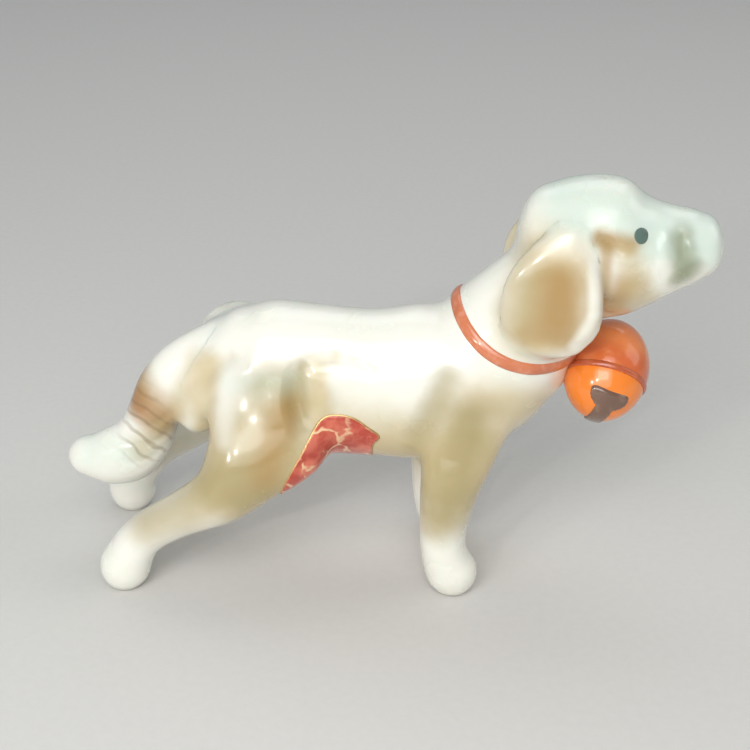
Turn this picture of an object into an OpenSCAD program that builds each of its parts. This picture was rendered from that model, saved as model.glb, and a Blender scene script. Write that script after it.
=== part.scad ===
// Slip-cast porcelain dog figurine: a hollow trunk and head, luted limbs, ears and tail,
// a slip collar with a round bell, and raised enamel details.
// Millimetres. +X is the way the dog faces, +Y its left side, +Z up. The soles stand on z = 0.

/* [Trunk] */
// Distance from the hip to the shoulder
back_l = 26; // [23:0.5:30]
// Height of the trunk's centre line above the ground
back_z = 25.5; // [24:0.5:29]
// Width of the trunk over the ribs
body_w = 15.2; // [12.5:0.1:18.4]
// Height of the trunk over the ribs
body_h = 19.6; // [17:0.1:22]

/* [Neck and head] */
// Width of the neck under the collar
neck_w = 13.2; // [11:0.1:16]
// Rise from the shoulder to the middle of the skull
head_rise = 18.6; // [17:0.5:22]
// Length from the back of the skull to the nose
head_l = 21.6; // [19:0.5:26]
// Width of the skull
head_w = 12.8; // [10.6:0.1:15.4]
// Height of the skull and cheek
head_h = 16.4; // [14:0.1:19]
// Width of the muzzle
muzzle_w = 7.6; // [6.4:0.1:9]

/* [Ears] */
// Length of an ear
ear_l = 16; // [13:0.1:18.6]
// Width of an ear
ear_w = 11.6; // [9.6:0.1:13.9]
// Thickness of an ear
ear_t = 3.4; // [2.8:0.1:4.1]

/* [Legs] */
// Width between the middles of the hind paws
stance_w = 18.6; // [15.5:0.1:22.4]
// Thickness of the leg above the paw
leg_d = 5.6; // [4.7:0.1:6.7]
// Diameter of a paw
paw_d = 6.4; // [5.6:0.1:7.7]
// Length of the flat ground under a paw
sole_d = 3.4; // [2.9:0.1:4]

/* [Tail] */
// Length of the tail along its middle line
tail_l = 25; // [21:0.5:30]
// Thickness of the tail
tail_d = 6.6; // [5.5:0.1:7.9]

/* [Collar and bell] */
// Width of the collar
collar_w = 1.2; // [1:0.05:1.5]
// Height of the collar above the neck
collar_t = 0.35; // [0.3:0.05:0.45]
// Diameter of the bell
bell_d = 10.2; // [8.5:0.1:12.3]
// Length of the bell, from its crown to the end with the slot
bell_l = 12.8; // [10.2:0.1:14.6]
// Thickness of the belt round the bell
belt_d = 0.7; // [0.6:0.05:0.85]
// How far the belt lies from the bell's middle, towards the slot
belt_drop = 1.4; // [1.1:0.1:1.7]
// Width of the slot painted on the bell
slot_w = 2.1; // [1.8:0.1:2.5]

/* [Enamel] */
// Diameter of an eye dot
eye_d = 1.9; // [1.5:0.1:2.4]
// Thickness of the enamel layers
enamel_t = 0.3; // [0.25:0.05:0.4]
// Length of the enamel patch on the belly
patch_l = 12; // [10:0.5:14.5]
// Width of the gilt line round the patch
line_w = 0.5; // [0.4:0.05:0.6]

/* [Casting] */
// Wall of the hollow trunk and head
wall_t = 2.4; // [2:0.1:2.9]
// Diameter of the vent hole in the belly
vent_d = 2; // [1.6:0.1:2.4]

/* [Hidden] */

$around = 26;     // points round each ring of a loft
$along = 3;       // rings from one station to the next
dome_steps = 5;   // rings on a rounded end
big = 100;        // larger than the figurine
RIGHT = -1;       // the side at -Y
LEFT = 1;

porcelain = [0.94, 0.93, 0.89];
collar_red = [0.78, 0.27, 0.17];
bell_orange = [0.93, 0.42, 0.09];
slot_grey = [0.37, 0.31, 0.28];
eye_grey = [0.22, 0.32, 0.31];
patch_red = [0.80, 0.16, 0.10];
gilt = [0.80, 0.62, 0.30];

// ---- lofts: a station is [x, y, z, half width, half height] ----
function unit(v) = v / norm(v);
function centre(s) = [s[0], s[1], s[2]];

// Catmull-Rom curve through the stations
function on_curve(p, i, u) =
    let (a = p[max(i - 1, 0)], b = p[i], c = p[i + 1], d = p[min(i + 2, len(p) - 1)])
    0.5 * (2 * b + (c - a) * u + (2 * a - 5 * b + 4 * c - d) * pow(u, 2)
           + (3 * b - a - 3 * c + d) * pow(u, 3));
function refined(p) =
    [for (i = [0 : len(p) - 2]) for (j = [0 : $along - 1]) on_curve(p, i, j / $along), p[len(p) - 1]];

// Taken over two rings each way, so that rings on a bend fan out evenly
function heading(q, i) =
    unit(centre(q[min(i + 2, len(q) - 1)]) - centre(q[max(i - 2, 0)]));
function across(t) = unit([0, 1, 0] - t * t[1]);
function ring(c, t, w, h) =
    let (side = across(t), top = cross(t, across(t)))
    [for (k = [0 : $around - 1]) let (a = 360 * k / $around) c + side * w * cos(a) + top * h * sin(a)];
function dome(s, t, reach, turns) =
    [for (a = turns) ring(centre(s) + t * reach * sin(a), t, s[3] * cos(a), s[4] * cos(a))];

// Every ring of a loft; a reach above 0 rounds that end by that much
function loft_rings(p, reach_a = 0, reach_b = 0) =
    let (q = refined(p), m = len(q) - 1, step = 90 / dome_steps,
         ta = heading(q, 0), tb = heading(q, m))
    concat(
        reach_a > 0 ? dome(q[0], ta, -reach_a, [90 - step / 3 : -step : step / 3]) : [],
        [for (i = [0 : m]) let (t = heading(q, i)) ring(centre(q[i]), t, q[i][3], q[i][4])],
        reach_b > 0 ? dome(q[m], tb, reach_b, [for (k = [1 : dome_steps]) k * step - step / 3]) : []);

module skin(rings, pole_a, pole_b) {
    n = len(rings);
    last = 1 + n * $around;
    function at(i, k) = 1 + i * $around + k % $around;
    polyhedron(
        points = concat([pole_a], [for (r = rings) each r], [pole_b]),
        faces = concat(
            [for (k = [0 : $around - 1]) [0, at(0, k), at(0, k + 1)]],
            [for (i = [0 : n - 2]) for (k = [0 : $around - 1]) [at(i, k), at(i + 1, k), at(i + 1, k + 1)]],
            [for (i = [0 : n - 2]) for (k = [0 : $around - 1]) [at(i, k), at(i + 1, k + 1), at(i, k + 1)]],
            [for (k = [0 : $around - 1]) [last, at(n - 1, k + 1), at(n - 1, k)]]));
}

// A loft along a path; a reach above 0 rounds that end by that much
module loft(p, reach_a = 0, reach_b = 0) {
    q = refined(p);
    m = len(q) - 1;
    skin(loft_rings(p, reach_a, reach_b),
         centre(q[0]) - heading(q, 0) * reach_a, centre(q[m]) + heading(q, m) * reach_b);
}

// Every piece is one clean mesh, so that pieces meet facet on facet
module one_piece() {
    resize([0, 0, 0]) children();
}

// ---- places ----
function mix(a, b, f) = a + (b - a) * f;
function grown(p, t) = [for (s = p) [s[0], s[1], s[2], s[3] + t, s[4] + t]];
function on_side(p, side) = [for (s = p) [s[0], side * s[1], s[2], s[3], s[4]]];

rib_w = body_w / 2;
rib_h = body_h / 2;
hip_x = -0.62 * back_l;
shoulder_x = 0.38 * back_l;
chest = [shoulder_x + 1.6, 0, back_z + 2.4];
skull = [shoulder_x + 14.2, 0, back_z + head_rise];
half_neck = neck_w / 2;

function neck_station(f, w, h) =
    let (c = mix(chest, skull, f)) [c[0], 0, c[2], half_neck * w, half_neck * h];
trunk_path = [
    [hip_x - 3.5, 0, back_z + 2.2, rib_w * 0.76, rib_h * 0.72],
    [hip_x, 0, back_z + 0.8, rib_w * 0.98, rib_h * 0.93],
    [hip_x + 6, 0, back_z, rib_w * 0.96, rib_h * 0.97],
    [mix(hip_x, shoulder_x, 0.56), 0, back_z - 0.4, rib_w * 0.93, rib_h * 0.96],
    [shoulder_x - 4.4, 0, back_z, rib_w, rib_h * 1.03],
    [chest[0], 0, chest[2], rib_w, rib_h * 0.95],
    neck_station(0.33, 1.06, 1.22),
    neck_station(0.62, 0.95, 1.04),
    neck_station(0.90, 0.90, 0.95)];

// The collar's plane: its centre, its forward slope, and how far it sags at the sides
collar_c = mix(chest, skull, 0.365);
collar_slope = 24.5;
collar_sag = 2;
throat_ring = 19; // the ring of the trunk that passes under the collar
throat = let (q = refined(trunk_path), t = heading(q, throat_ring), s = q[throat_ring])
    centre(s) - cross(t, across(t)) * s[4];

// Head: shares of the head's length, width and height
back_of_skull = skull[0] - 6.7;
function head_station(f, dz, w, h) = [back_of_skull + head_l * f, 0, skull[2] + dz, w, h * head_h / 2];
half_head = head_w / 2;
half_muzzle = muzzle_w / 2;
nose_reach = 0.1 * head_l;
head_path = [
    head_station(0.03, 0.5, half_head * 0.78, 0.79),
    head_station(0.15, 0.3, half_head * 0.92, 0.93),
    head_station(0.305, 0, half_head, 1.02),
    head_station(0.464, -0.5, half_head * 0.97, 1.01),
    head_station(0.595, -0.45, half_head * 0.81, 0.82),
    head_station(0.723, -0.1, half_muzzle * 1.16, 0.65),
    head_station(0.85, 0.3, half_muzzle * 0.98, 0.53),
    head_station(0.9, 0.4, half_muzzle * 0.89, 0.45)];
nose_x = back_of_skull + head_l;

ear_top = [skull[0] - 2.4, 0, skull[2] + 4.4];
function ear_station(x, y, z, w, h) =
    [ear_top[0] - x, half_head * y, ear_top[2] - ear_l * z, ear_t * w, ear_w * h];
ear_path = [
    ear_station(0.2, 0.84, 0.06, 0.40, 0.17),
    ear_station(0.9, 0.96, 0.24, 0.47, 0.37),
    ear_station(1.9, 1.06, 0.48, 0.48, 0.50),
    ear_station(2.2, 1.08, 0.74, 0.48, 0.49),
    ear_station(2.4, 1.03, 0.90, 0.43, 0.36)];

half_paw = paw_d / 2;
half_leg = leg_d / 2;
half_stance = stance_w / 2;
paw_z = half_paw * 0.95;
paw_reach = paw_z / sqrt(1 - pow(sole_d / paw_d, 2));
seam = 3;      // the station where a limb is luted to the trunk
hip_dome = 3; // how far a limb's upper end is rounded

front_path = [
    [shoulder_x + 0.4, rib_w * 0.46, back_z + 0.5, rib_w * 0.46, rib_h * 0.72],
    [shoulder_x - 0.4, rib_w * 0.68, back_z - 6, rib_w * 0.50, rib_h * 0.50],
    [shoulder_x - 1.1, rib_w * 0.82, back_z - 9.5, half_leg * 1.38, half_leg * 1.42],
    [shoulder_x - 1.6, rib_w * 0.88, back_z - 12.5, half_leg * 1.2, half_leg * 1.22],
    [shoulder_x - 2.1, rib_w * 0.92, mix(paw_z, back_z - 12.5, 0.48), half_leg, half_leg],
    [shoulder_x - 1.7, rib_w * 0.92, paw_z + 1.8, half_leg * 1.03, half_leg * 1.03],
    [shoulder_x - 1.0, rib_w * 0.92, paw_z, half_paw * 0.95, half_paw]];
// The same limb, swung back by the third station and below
function swung(p, dx) = [for (i = [0 : len(p) - 1])
    [p[i][0] + dx * min(1, i / 3), p[i][1], p[i][2], p[i][3], p[i][4]]];
left_front_path = swung(front_path, -1.9);

right_hind_path = [
    [hip_x + 1.8, rib_w * 0.46, back_z + 1.2, rib_w * 0.52, rib_h * 0.7],
    [hip_x + 2.6, rib_w * 0.74, back_z - 4.6, rib_w * 0.56, rib_h * 0.82],
    [hip_x - 0.2, half_stance * 0.85, back_z - 8.6, half_leg * 1.5, half_leg * 1.94],
    [hip_x - 3.4, half_stance * 0.95, back_z - 12.3, half_leg * 1.25, half_leg * 1.34],
    [hip_x - 8, half_stance, back_z - 14.8, half_leg * 1.04, half_leg * 0.98],
    [hip_x - 13, half_stance, mix(paw_z, back_z - 14.8, 0.55), half_leg * 0.96, half_leg * 0.94],
    [hip_x - 15.4, half_stance, paw_z, half_paw * 0.97, half_paw]];
left_hind_path = [
    [hip_x - 2.4, rib_w * 0.56, back_z + 4.2, rib_w * 0.52, rib_h * 0.5],
    [hip_x - 2.5, rib_w * 0.78, back_z - 2, rib_w * 0.56, rib_h * 0.74],
    [hip_x - 6.3, half_stance * 0.85, back_z - 7, half_leg * 1.45, half_leg * 1.8],
    [hip_x - 10.7, half_stance * 0.95, back_z - 12, half_leg * 1.22, half_leg * 1.35],
    [hip_x - 15.2, half_stance, mix(paw_z, back_z - 12, 0.62), half_leg * 1.04, half_leg * 1.08],
    [hip_x - 18, half_stance, paw_z + 2.4, half_leg * 1.0, half_leg * 1.0],
    [hip_x - 18.8, half_stance, paw_z, half_paw * 0.97, half_paw]];

// The fold of clay between haunch and tail, and the throat behind the bell
fold_path = [
    [hip_x - 3.4, -rib_w * 0.42, back_z + 2, 2.4, 3.0],
    [hip_x - 5.6, -rib_w * 0.40, back_z - 2, 2.1, 3.0],
    [hip_x - 6.9, -rib_w * 0.37, back_z - 4.7, 1.7, 2.8]];
throat_path = [
    [chest[0] + 4.6, 0, chest[2] + 2, half_neck * 0.62, half_neck * 0.5],
    [chest[0] + 7.2, 0, chest[2], half_neck * 0.58, half_neck * 0.46],
    [chest[0] + 8.9, 0, chest[2] - 1.3, half_neck * 0.5, half_neck * 0.36]];

half_tail = tail_d / 2;
tail_root = [hip_x - 3, 0, back_z + 4.8];
function tail_station(x, y, z, w, h) =
    [tail_root[0] - tail_l * x, y, tail_root[2] - tail_l * z, half_tail * w, half_tail * h];
tail_reach = 0.11 * tail_l;
tail_end = 0.72;
tail_path = [
    tail_station(0, 0, 0, 0.85, 0.85),
    tail_station(0.21, -0.4, 0.13, 0.92, 0.94),
    tail_station(0.32, -0.7, 0.27, 0.94, 1.02),
    tail_station(0.38, -0.9, 0.41, 0.95, 1.0),
    tail_station(0.435, -1.1, 0.535, 0.98, 1.08),
    tail_station(0.52, -1.3, 0.63, 0.99, 1.2),
    tail_station(0.63, -1.4, 0.662, 0.93, 1.12),
    tail_station(tail_end, -1.5, 0.66, 0.74, 0.82)];
tail_tip_x = tail_root[0] - tail_l * tail_end - tail_reach;

// The frame's origin is under the middle of the figurine
mid_x = (nose_x + tail_tip_x) / 2;
module place() {
    translate([-mid_x, 0, 0]) children();
}

// ---- whole forms, before they are cut into pieces ----
module neck_and_trunk(t = 0) { loft(grown(trunk_path, t), 3 + t, 4.5 + t); }
module skull_and_muzzle(t = 0) { loft(grown(head_path, t), 0.13 * head_l + t, nose_reach + t); }

module hollow(p) { loft(grown(p, -wall_t), 2, 1.5, $around = 14, $along = 1); }

module upper_limb(p) {
    q = refined(p);
    rings = loft_rings(p, hip_dome);
    skin([for (i = [0 : dome_steps + seam * $along]) rings[i]],
         centre(p[0]) - heading(q, 0) * hip_dome, centre(p[seam]));
}

module lower_limb(p) {
    q = refined(p);
    m = len(q) - 1;
    rings = loft_rings(p, 0, paw_reach);
    difference() {
        skin([for (i = [seam * $along : len(rings) - 1]) rings[i]],
             centre(p[seam]), centre(q[m]) + heading(q, m) * paw_reach);
        translate([-big, -big, -big]) cube([2 * big, 2 * big, big]);
    }
}

module body_form(t = 0) {
    neck_and_trunk(t);
    loft(grown(fold_path, t), 1.5 + t, 2.2 + t, $around = 20);
    loft(grown(throat_path, t), 1.2 + t, 1.2 + t, $around = 20);
    upper_limb(on_side(grown(front_path, t), RIGHT), $around = 20);
    upper_limb(on_side(grown(left_front_path, t), LEFT), $around = 20);
    upper_limb(on_side(grown(right_hind_path, t), RIGHT), $around = 20);
    upper_limb(on_side(grown(left_hind_path, t), LEFT), $around = 20);
}

// Everything on the head's side of the collar line, moved along the neck by an offset
module beyond_collar(offset = 0) {
    line = [for (y = [-14 : 14]) [y, offset - collar_sag * pow(y / half_neck, 2)]];
    translate(collar_c) rotate([0, collar_slope, 0]) rotate([90, 0, 90])
        linear_extrude(60, center = true) polygon(concat([[14, 60], [-14, 60]], line));
}

module trunk() {
    color(porcelain) one_piece() difference() {
        body_form();
        beyond_collar();
        hollow(trunk_path);
        translate([shoulder_x - 8, 0, 0]) cylinder(h = back_z, d = vent_d, $fn = 24);
    }
}

module head() {
    color(porcelain) one_piece() difference() {
        union() {
            intersection() { neck_and_trunk(); beyond_collar(); }
            skull_and_muzzle();
        }
        hollow(trunk_path);
        hollow(head_path);
    }
}

module ear(side) {
    color(porcelain) one_piece() difference() {
        loft(on_side(ear_path, side), ear_l * 0.06, ear_l * 0.1);
        neck_and_trunk();
        skull_and_muzzle();
        collar_band();
    }
}

module front_leg(side) {
    color(porcelain)
        lower_limb(on_side(side == LEFT ? left_front_path : front_path, side), $around = 20);
}
module hind_leg(side) {
    color(porcelain)
        lower_limb(on_side(side == LEFT ? left_hind_path : right_hind_path, side), $around = 20);
}

module tail() {
    color(porcelain) one_piece() difference() {
        loft(tail_path, 0, tail_reach);
        body_form();
    }
}

module collar_band() {
    intersection() {
        neck_and_trunk(collar_t);
        difference() { beyond_collar(-collar_w / 2); beyond_collar(collar_w / 2); }
    }
}

module collar() {
    color(collar_red) one_piece() difference() {
        collar_band();
        neck_and_trunk();
        skull_and_muzzle();
    }
}

// ---- bell ----
bell_r = bell_d / 2;
bell_c = throat + [0.877, 0, -0.55] * bell_d * 0.42;
module at_bell() { translate(bell_c) rotate([-46, 22, 5]) children(); }
module bell_ball(t = 0) {
    at_bell() scale([bell_r + t, bell_r + t, bell_l / 2 + t]) sphere(r = 1, $fn = 32);
}

module behind_bell() {
    body_form();
    skull_and_muzzle();
    collar_band();
}

module bell() { color(bell_orange) one_piece() difference() { bell_ball(); behind_bell(); } }

module bell_belt() {
    girth = bell_r * sqrt(1 - pow(2 * belt_drop / bell_l, 2));
    color(collar_red) one_piece() difference() {
        at_bell() translate([0, 0, -belt_drop]) rotate_extrude($fn = 32)
            translate([girth - belt_d * 0.15, 0]) circle(d = belt_d, $fn = 12);
        bell_ball();
        behind_bell();
    }
}

module bell_slot() {
    hole_y = -bell_r * sin(41);
    color(slot_grey) one_piece() difference() {
        intersection() {
            bell_ball(enamel_t);
            at_bell() translate([0, 0, -bell_l]) linear_extrude(bell_l) {
                translate([0, hole_y]) scale([1, 0.5]) circle(d = slot_w * 2.35, $fn = 24);
                translate([-slot_w / 2, hole_y]) square([slot_w, -hole_y + bell_r * 0.25]);
            }
        }
        bell_ball();
    }
}

// ---- eyes ----
eye_ring = 11;
eye_angle = 30;
module eye(side) {
    q = refined(head_path);
    s = q[eye_ring];
    t = heading(q, eye_ring);
    spot = centre(s) + across(t) * side * s[3] * cos(eye_angle) + cross(t, across(t)) * s[4] * sin(eye_angle);
    out = unit([0, side * cos(eye_angle) / s[3], sin(eye_angle) / s[4]]);
    color(eye_grey) one_piece() difference() {
        translate(spot - out * eye_d * 0.3) sphere(d = eye_d * 1.15, $fn = 20);
        skull_and_muzzle();
    }
}

// ---- belly patch ----
patch_x = hip_x + 4;
module patch_outline() {
    low = back_z - rib_h - 4;
    offset(r = 1, $fn = 12) offset(r = -1, $fn = 12) polygon([
        [0, low], [patch_l * 0.03, back_z - 11], [patch_l * 0.25, back_z - 5.5],
        [patch_l * 0.4, back_z - 2.6], [patch_l * 0.55, back_z - 1.5], [patch_l * 0.76, back_z - 1.8],
        [patch_l, back_z - 4], [patch_l * 0.86, low]]);
}
module patch_prism(t = 0) {
    translate([patch_x, 0, 0]) rotate([90, 0, 0])
        linear_extrude(big, center = true) offset(r = t, $fn = 8) patch_outline();
}

module belly_patch() {
    color(patch_red) one_piece() difference() {
        intersection() { body_form(enamel_t); patch_prism(); }
        body_form();
    }
}

module patch_line() {
    color(gilt) one_piece() difference() {
        intersection() { body_form(enamel_t * 1.5); patch_prism(line_w); }
        body_form();
        patch_prism();
    }
}

place() {
    trunk();
    head();
    ear(RIGHT);  // right_ear
    ear(LEFT);  // left_ear
    front_leg(RIGHT);  // front_right_leg
    front_leg(LEFT);  // front_left_leg
    hind_leg(RIGHT);  // hind_right_leg
    hind_leg(LEFT);  // hind_left_leg
    tail();
    collar();
    bell();
    bell_belt();
    bell_slot();
    eye(RIGHT);  // right_eye
    eye(LEFT);  // left_eye
    belly_patch();
    patch_line();
}
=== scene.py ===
"""Ceramic dog figurine with a bell on its collar, finished around its CAD frame.

The glazed body is one skin, modelled and then cut into head, ears, trunk, legs and tail.
The collar, belt and gilt lines are beads laid on that skin, and the bell, its slot, the eyes
and the belly patch are enamels of their own.
"""

import math

import bmesh
import bpy
import numpy as np
from bpy.props import FloatProperty, FloatVectorProperty, PointerProperty
from mathutils import Euler, Matrix, Vector
from mathutils.bvhtree import BVHTree
from mathutils.kdtree import KDTree


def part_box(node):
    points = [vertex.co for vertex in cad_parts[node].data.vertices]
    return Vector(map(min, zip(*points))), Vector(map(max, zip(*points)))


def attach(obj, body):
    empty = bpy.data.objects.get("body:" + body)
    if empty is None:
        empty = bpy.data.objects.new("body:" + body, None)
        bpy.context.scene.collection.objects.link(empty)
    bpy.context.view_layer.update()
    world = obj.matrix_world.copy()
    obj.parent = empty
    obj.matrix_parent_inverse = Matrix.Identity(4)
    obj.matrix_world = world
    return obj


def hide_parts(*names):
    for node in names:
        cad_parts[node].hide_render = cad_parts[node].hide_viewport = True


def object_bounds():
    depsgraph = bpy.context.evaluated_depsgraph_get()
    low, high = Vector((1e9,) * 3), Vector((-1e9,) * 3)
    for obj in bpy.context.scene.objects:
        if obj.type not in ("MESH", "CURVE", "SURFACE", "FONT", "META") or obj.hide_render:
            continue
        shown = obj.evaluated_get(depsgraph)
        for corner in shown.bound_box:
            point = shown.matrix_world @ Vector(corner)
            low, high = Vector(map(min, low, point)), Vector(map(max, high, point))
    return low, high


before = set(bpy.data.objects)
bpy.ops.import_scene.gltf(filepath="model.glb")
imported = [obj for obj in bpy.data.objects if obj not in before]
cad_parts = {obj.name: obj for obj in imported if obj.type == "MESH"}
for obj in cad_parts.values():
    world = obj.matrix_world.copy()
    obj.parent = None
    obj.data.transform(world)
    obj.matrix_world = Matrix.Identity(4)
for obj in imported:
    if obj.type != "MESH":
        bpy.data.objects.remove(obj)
CAD_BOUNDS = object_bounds()

bl_info = {
    "name": "Ceramic dog figurine",
    "version": (1, 0, 0),
    "blender": (4, 5, 0),
    "location": "View3D > Sidebar > Figurine",
    "description": "Builds a glazed and painted dog figurine around its CAD frame",
    "category": "Object",
}

MM = 0.001
FULL_TURN = 2 * math.pi
GLAZED = ["trunk", "head", "right_ear", "left_ear", "front_right_leg", "front_left_leg",
          "hind_right_leg", "hind_left_leg", "tail"]
LEGS = [n for n in GLAZED if n.endswith("leg")]
SLOTS = {"trunk": "porcelain_glaze", "head": "head_glaze", "tail": "tail_glaze",
         "right_ear": "ear_glaze", "left_ear": "ear_glaze", **{n: "porcelain_glaze" for n in LEGS}}
skin = {}  # what the first operator leaves for the others: co, normals, tree, form


# ---- sizes and colours -----------------------------------------------------------------------


def length(name, description, default):
    return FloatProperty(name=name, description=description, default=default, min=0, unit="LENGTH",
                         precision=5)


def shade(name, description, default):
    return FloatVectorProperty(name=name, description=description, default=(*default, 1), size=4,
                               min=0, max=1, subtype="COLOR")


class FigurineBodySizes(bpy.types.PropertyGroup):
    """Sizes of the glazed body"""

    cell: length("Skin cell", "Spacing of the points on the glazed skin", 0.00029)
    vent: length("Vent hole", "Diameter of the vent hole in the belly", 0.0020)
    vent_depth: length("Vent depth", "How far the vent hole can be seen into", 0.0040)


class FigurineTrimSizes(bpy.types.PropertyGroup):
    """Sizes of the enamels"""

    collar_width: length("Collar width", "Width of the painted collar", 0.00152)
    collar_rise: length("Collar rise", "How far the collar stands on the glaze", 0.00030)
    patch_rise: length("Patch rise", "How far the belly enamel stands on the glaze", 0.00016)
    gilt_width: length("Gilt width", "Width of the gilt line around the patch", 0.00026)
    gilt_rise: length("Gilt rise", "How far the gilt line stands on the glaze", 0.00014)
    slot_rise: length("Slot rise", "How far the slot enamel stands on the bell", 0.00022)
    belt_width: length("Belt width", "Width of the band around the bell", 0.00075)


class FigurineColours(bpy.types.PropertyGroup):
    """Colours of the glazes and enamels"""

    white: shade("White glaze", "The glaze over the bare clay", (0.85, 0.835, 0.765))
    cream: shade("Cream", "Thin warm glaze on the belly and chest", (0.60, 0.49, 0.28))
    olive: shade("Olive", "Airbrushed olive of thigh and shoulder", (0.39, 0.315, 0.15))
    # ochre also paints the shadow of the ear's front edge on the cheek
    ochre: shade("Ochre", "Airbrushed ochre of ear and cheek", (0.41, 0.245, 0.08))
    brown: shade("Brown", "Airbrushed brown of the tail band", (0.36, 0.16, 0.042))
    umber: shade("Umber", "Dark brush lines on the tail", (0.20, 0.13, 0.055))
    mint: shade("Mint", "Cool tint of brow, muzzle and tail tip", (0.55, 0.68, 0.61))
    moss: shade("Moss", "Grey olive of the muzzle", (0.21, 0.24, 0.13))
    red: shade("Collar red", "Enamel of the collar and belt", (0.62, 0.19, 0.085))
    patch: shade("Patch red", "Enamel of the belly patch", (0.50, 0.055, 0.030))
    orange: shade("Bell orange", "Enamel of the bell", (0.86, 0.22, 0.02))
    gilt: shade("Gilt", "Lustre of the line around the patch", (0.62, 0.40, 0.17))
    slot: shade("Slot grey", "Enamel of the bell's slot", (0.17, 0.095, 0.065))
    eye: shade("Eye grey", "Enamel of the eyes", (0.10, 0.16, 0.135))


def body_sizes():
    return bpy.context.scene.figurine_body


def trim_sizes():
    return bpy.context.scene.figurine_trim


def colours():
    return bpy.context.scene.figurine_colours


# ---- mesh helpers ----------------------------------------------------------------------------


def linked(name, mesh):
    obj = bpy.data.objects.new(name, mesh)
    bpy.context.scene.collection.objects.link(obj)
    return obj


def discard(*objs):
    for obj in objs:
        mesh = obj.data
        bpy.data.objects.remove(obj)
        if mesh.users == 0:
            bpy.data.meshes.remove(mesh)


def reworked(mesh, work):
    """Runs work on the mesh as a bmesh, and stores the result in the mesh."""
    bm = bmesh.new()
    bm.from_mesh(mesh)
    work(bm)
    bm.to_mesh(mesh)
    bm.free()
    return mesh


def settle(obj):
    """Applies every modifier of obj to its mesh."""
    graph = bpy.context.evaluated_depsgraph_get()
    mesh = bpy.data.meshes.new_from_object(obj.evaluated_get(graph), depsgraph=graph,
                                           preserve_all_data_layers=True)
    old, name = obj.data, obj.data.name
    obj.modifiers.clear()
    obj.data = mesh
    if old.users == 0:
        bpy.data.meshes.remove(old)
    mesh.name = name
    return obj


def combine(obj, other, how):
    """Joins, cuts or crosses obj with other, and discards other."""
    step = obj.modifiers.new("combine", "BOOLEAN")
    step.operation, step.solver, step.object = how, "MANIFOLD", other
    settle(obj)
    discard(other)
    return obj


def melt(obj, cell):
    """Turns obj into an even skin of points, cell metres apart."""
    step = obj.modifiers.new("melt", "REMESH")
    step.mode, step.voxel_size, step.adaptivity = "VOXEL", cell, 0.0
    return settle(obj)


def form_of(node, grow=0.0):
    """A closed copy of a CAD node, grown outwards by grow metres."""

    def grown(bm):
        bmesh.ops.remove_doubles(bm, verts=bm.verts, dist=2e-7)
        bm.normal_update()
        for v, co in zip(bm.verts, [v.co + v.normal * grow for v in bm.verts]):
            v.co = co

    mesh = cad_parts[node].data.copy()
    mesh.materials.clear()
    return linked(node + "_form", reworked(mesh, grown))


def from_arrays(name, co, faces):
    mesh = bpy.data.meshes.new(name)
    mesh.from_pydata(np.asarray(co).tolist(), [], [list(map(int, f)) for f in faces])
    mesh.update()
    return mesh


def globe(name, rings, sides, point):
    """A closed ball; point(latitude, turn) gives each place on it."""
    turns = np.linspace(0, FULL_TURN, sides, endpoint=False)
    co = [point(-math.pi / 2, 0)]
    for k in range(1, rings):
        co += [point(math.pi * (k / rings - 0.5), turn) for turn in turns]
    co.append(point(math.pi / 2, 0))
    top = len(co) - 1
    faces = []
    for a in range(sides):
        b = (a + 1) % sides
        faces += [(0, 1 + b, 1 + a), (top - sides + a, top - sides + b, top)]
        faces += [(k + a, k + b, k + sides + b, k + sides + a)
                  for k in range(1, 1 + (rings - 2) * sides, sides)]
    return from_arrays(name, co, faces)


def rod(radius, start, end, sides=32):
    """A closed round rod between two points."""
    start, end = Vector(start), Vector(end)
    turn = (end - start).to_track_quat("Z", "Y").to_matrix().to_4x4()
    place = Matrix.Translation((start + end) / 2) @ turn
    mesh = reworked(bpy.data.meshes.new("rod"), lambda bm: bmesh.ops.create_cone(
        bm, cap_ends=True, segments=sides, radius1=radius, radius2=radius, depth=(end - start).length,
        matrix=place))
    return linked("rod", mesh)


def prism(outline, low, high, place):
    """A closed prism over a flat outline, between two heights, put in place."""

    def closed(bm):
        bmesh.ops.triangulate(bm, faces=bm.faces)
        bmesh.ops.recalc_face_normals(bm, faces=bm.faces)

    n = len(outline)
    co = [(x, y, low) for x, y in outline] + [(x, y, high) for x, y in outline]
    faces = [tuple(range(n - 1, -1, -1)), tuple(range(n, 2 * n))]
    faces += [(k, (k + 1) % n, (k + 1) % n + n, k + n) for k in range(n)]
    mesh = from_arrays("prism", co, faces)
    mesh.transform(place)
    return linked("prism", reworked(mesh, closed))


def finished(obj, node, material, slot, smooth=True):
    """Gives a piece its name, finish and body, and hides the CAD node it stands for. The slot argument is not
    used.
    """
    obj.name = obj.data.name = "dog_" + node
    obj.data.materials.clear()
    obj.data.materials.append(material)
    if smooth:
        obj.data.shade_smooth()
    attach(obj, "root")
    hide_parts(node)
    return obj


# ---- the skin --------------------------------------------------------------------------------


def put_points(mesh, co):
    mesh.vertices.foreach_set("co", co.astype(np.float32).ravel())
    mesh.update()


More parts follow.
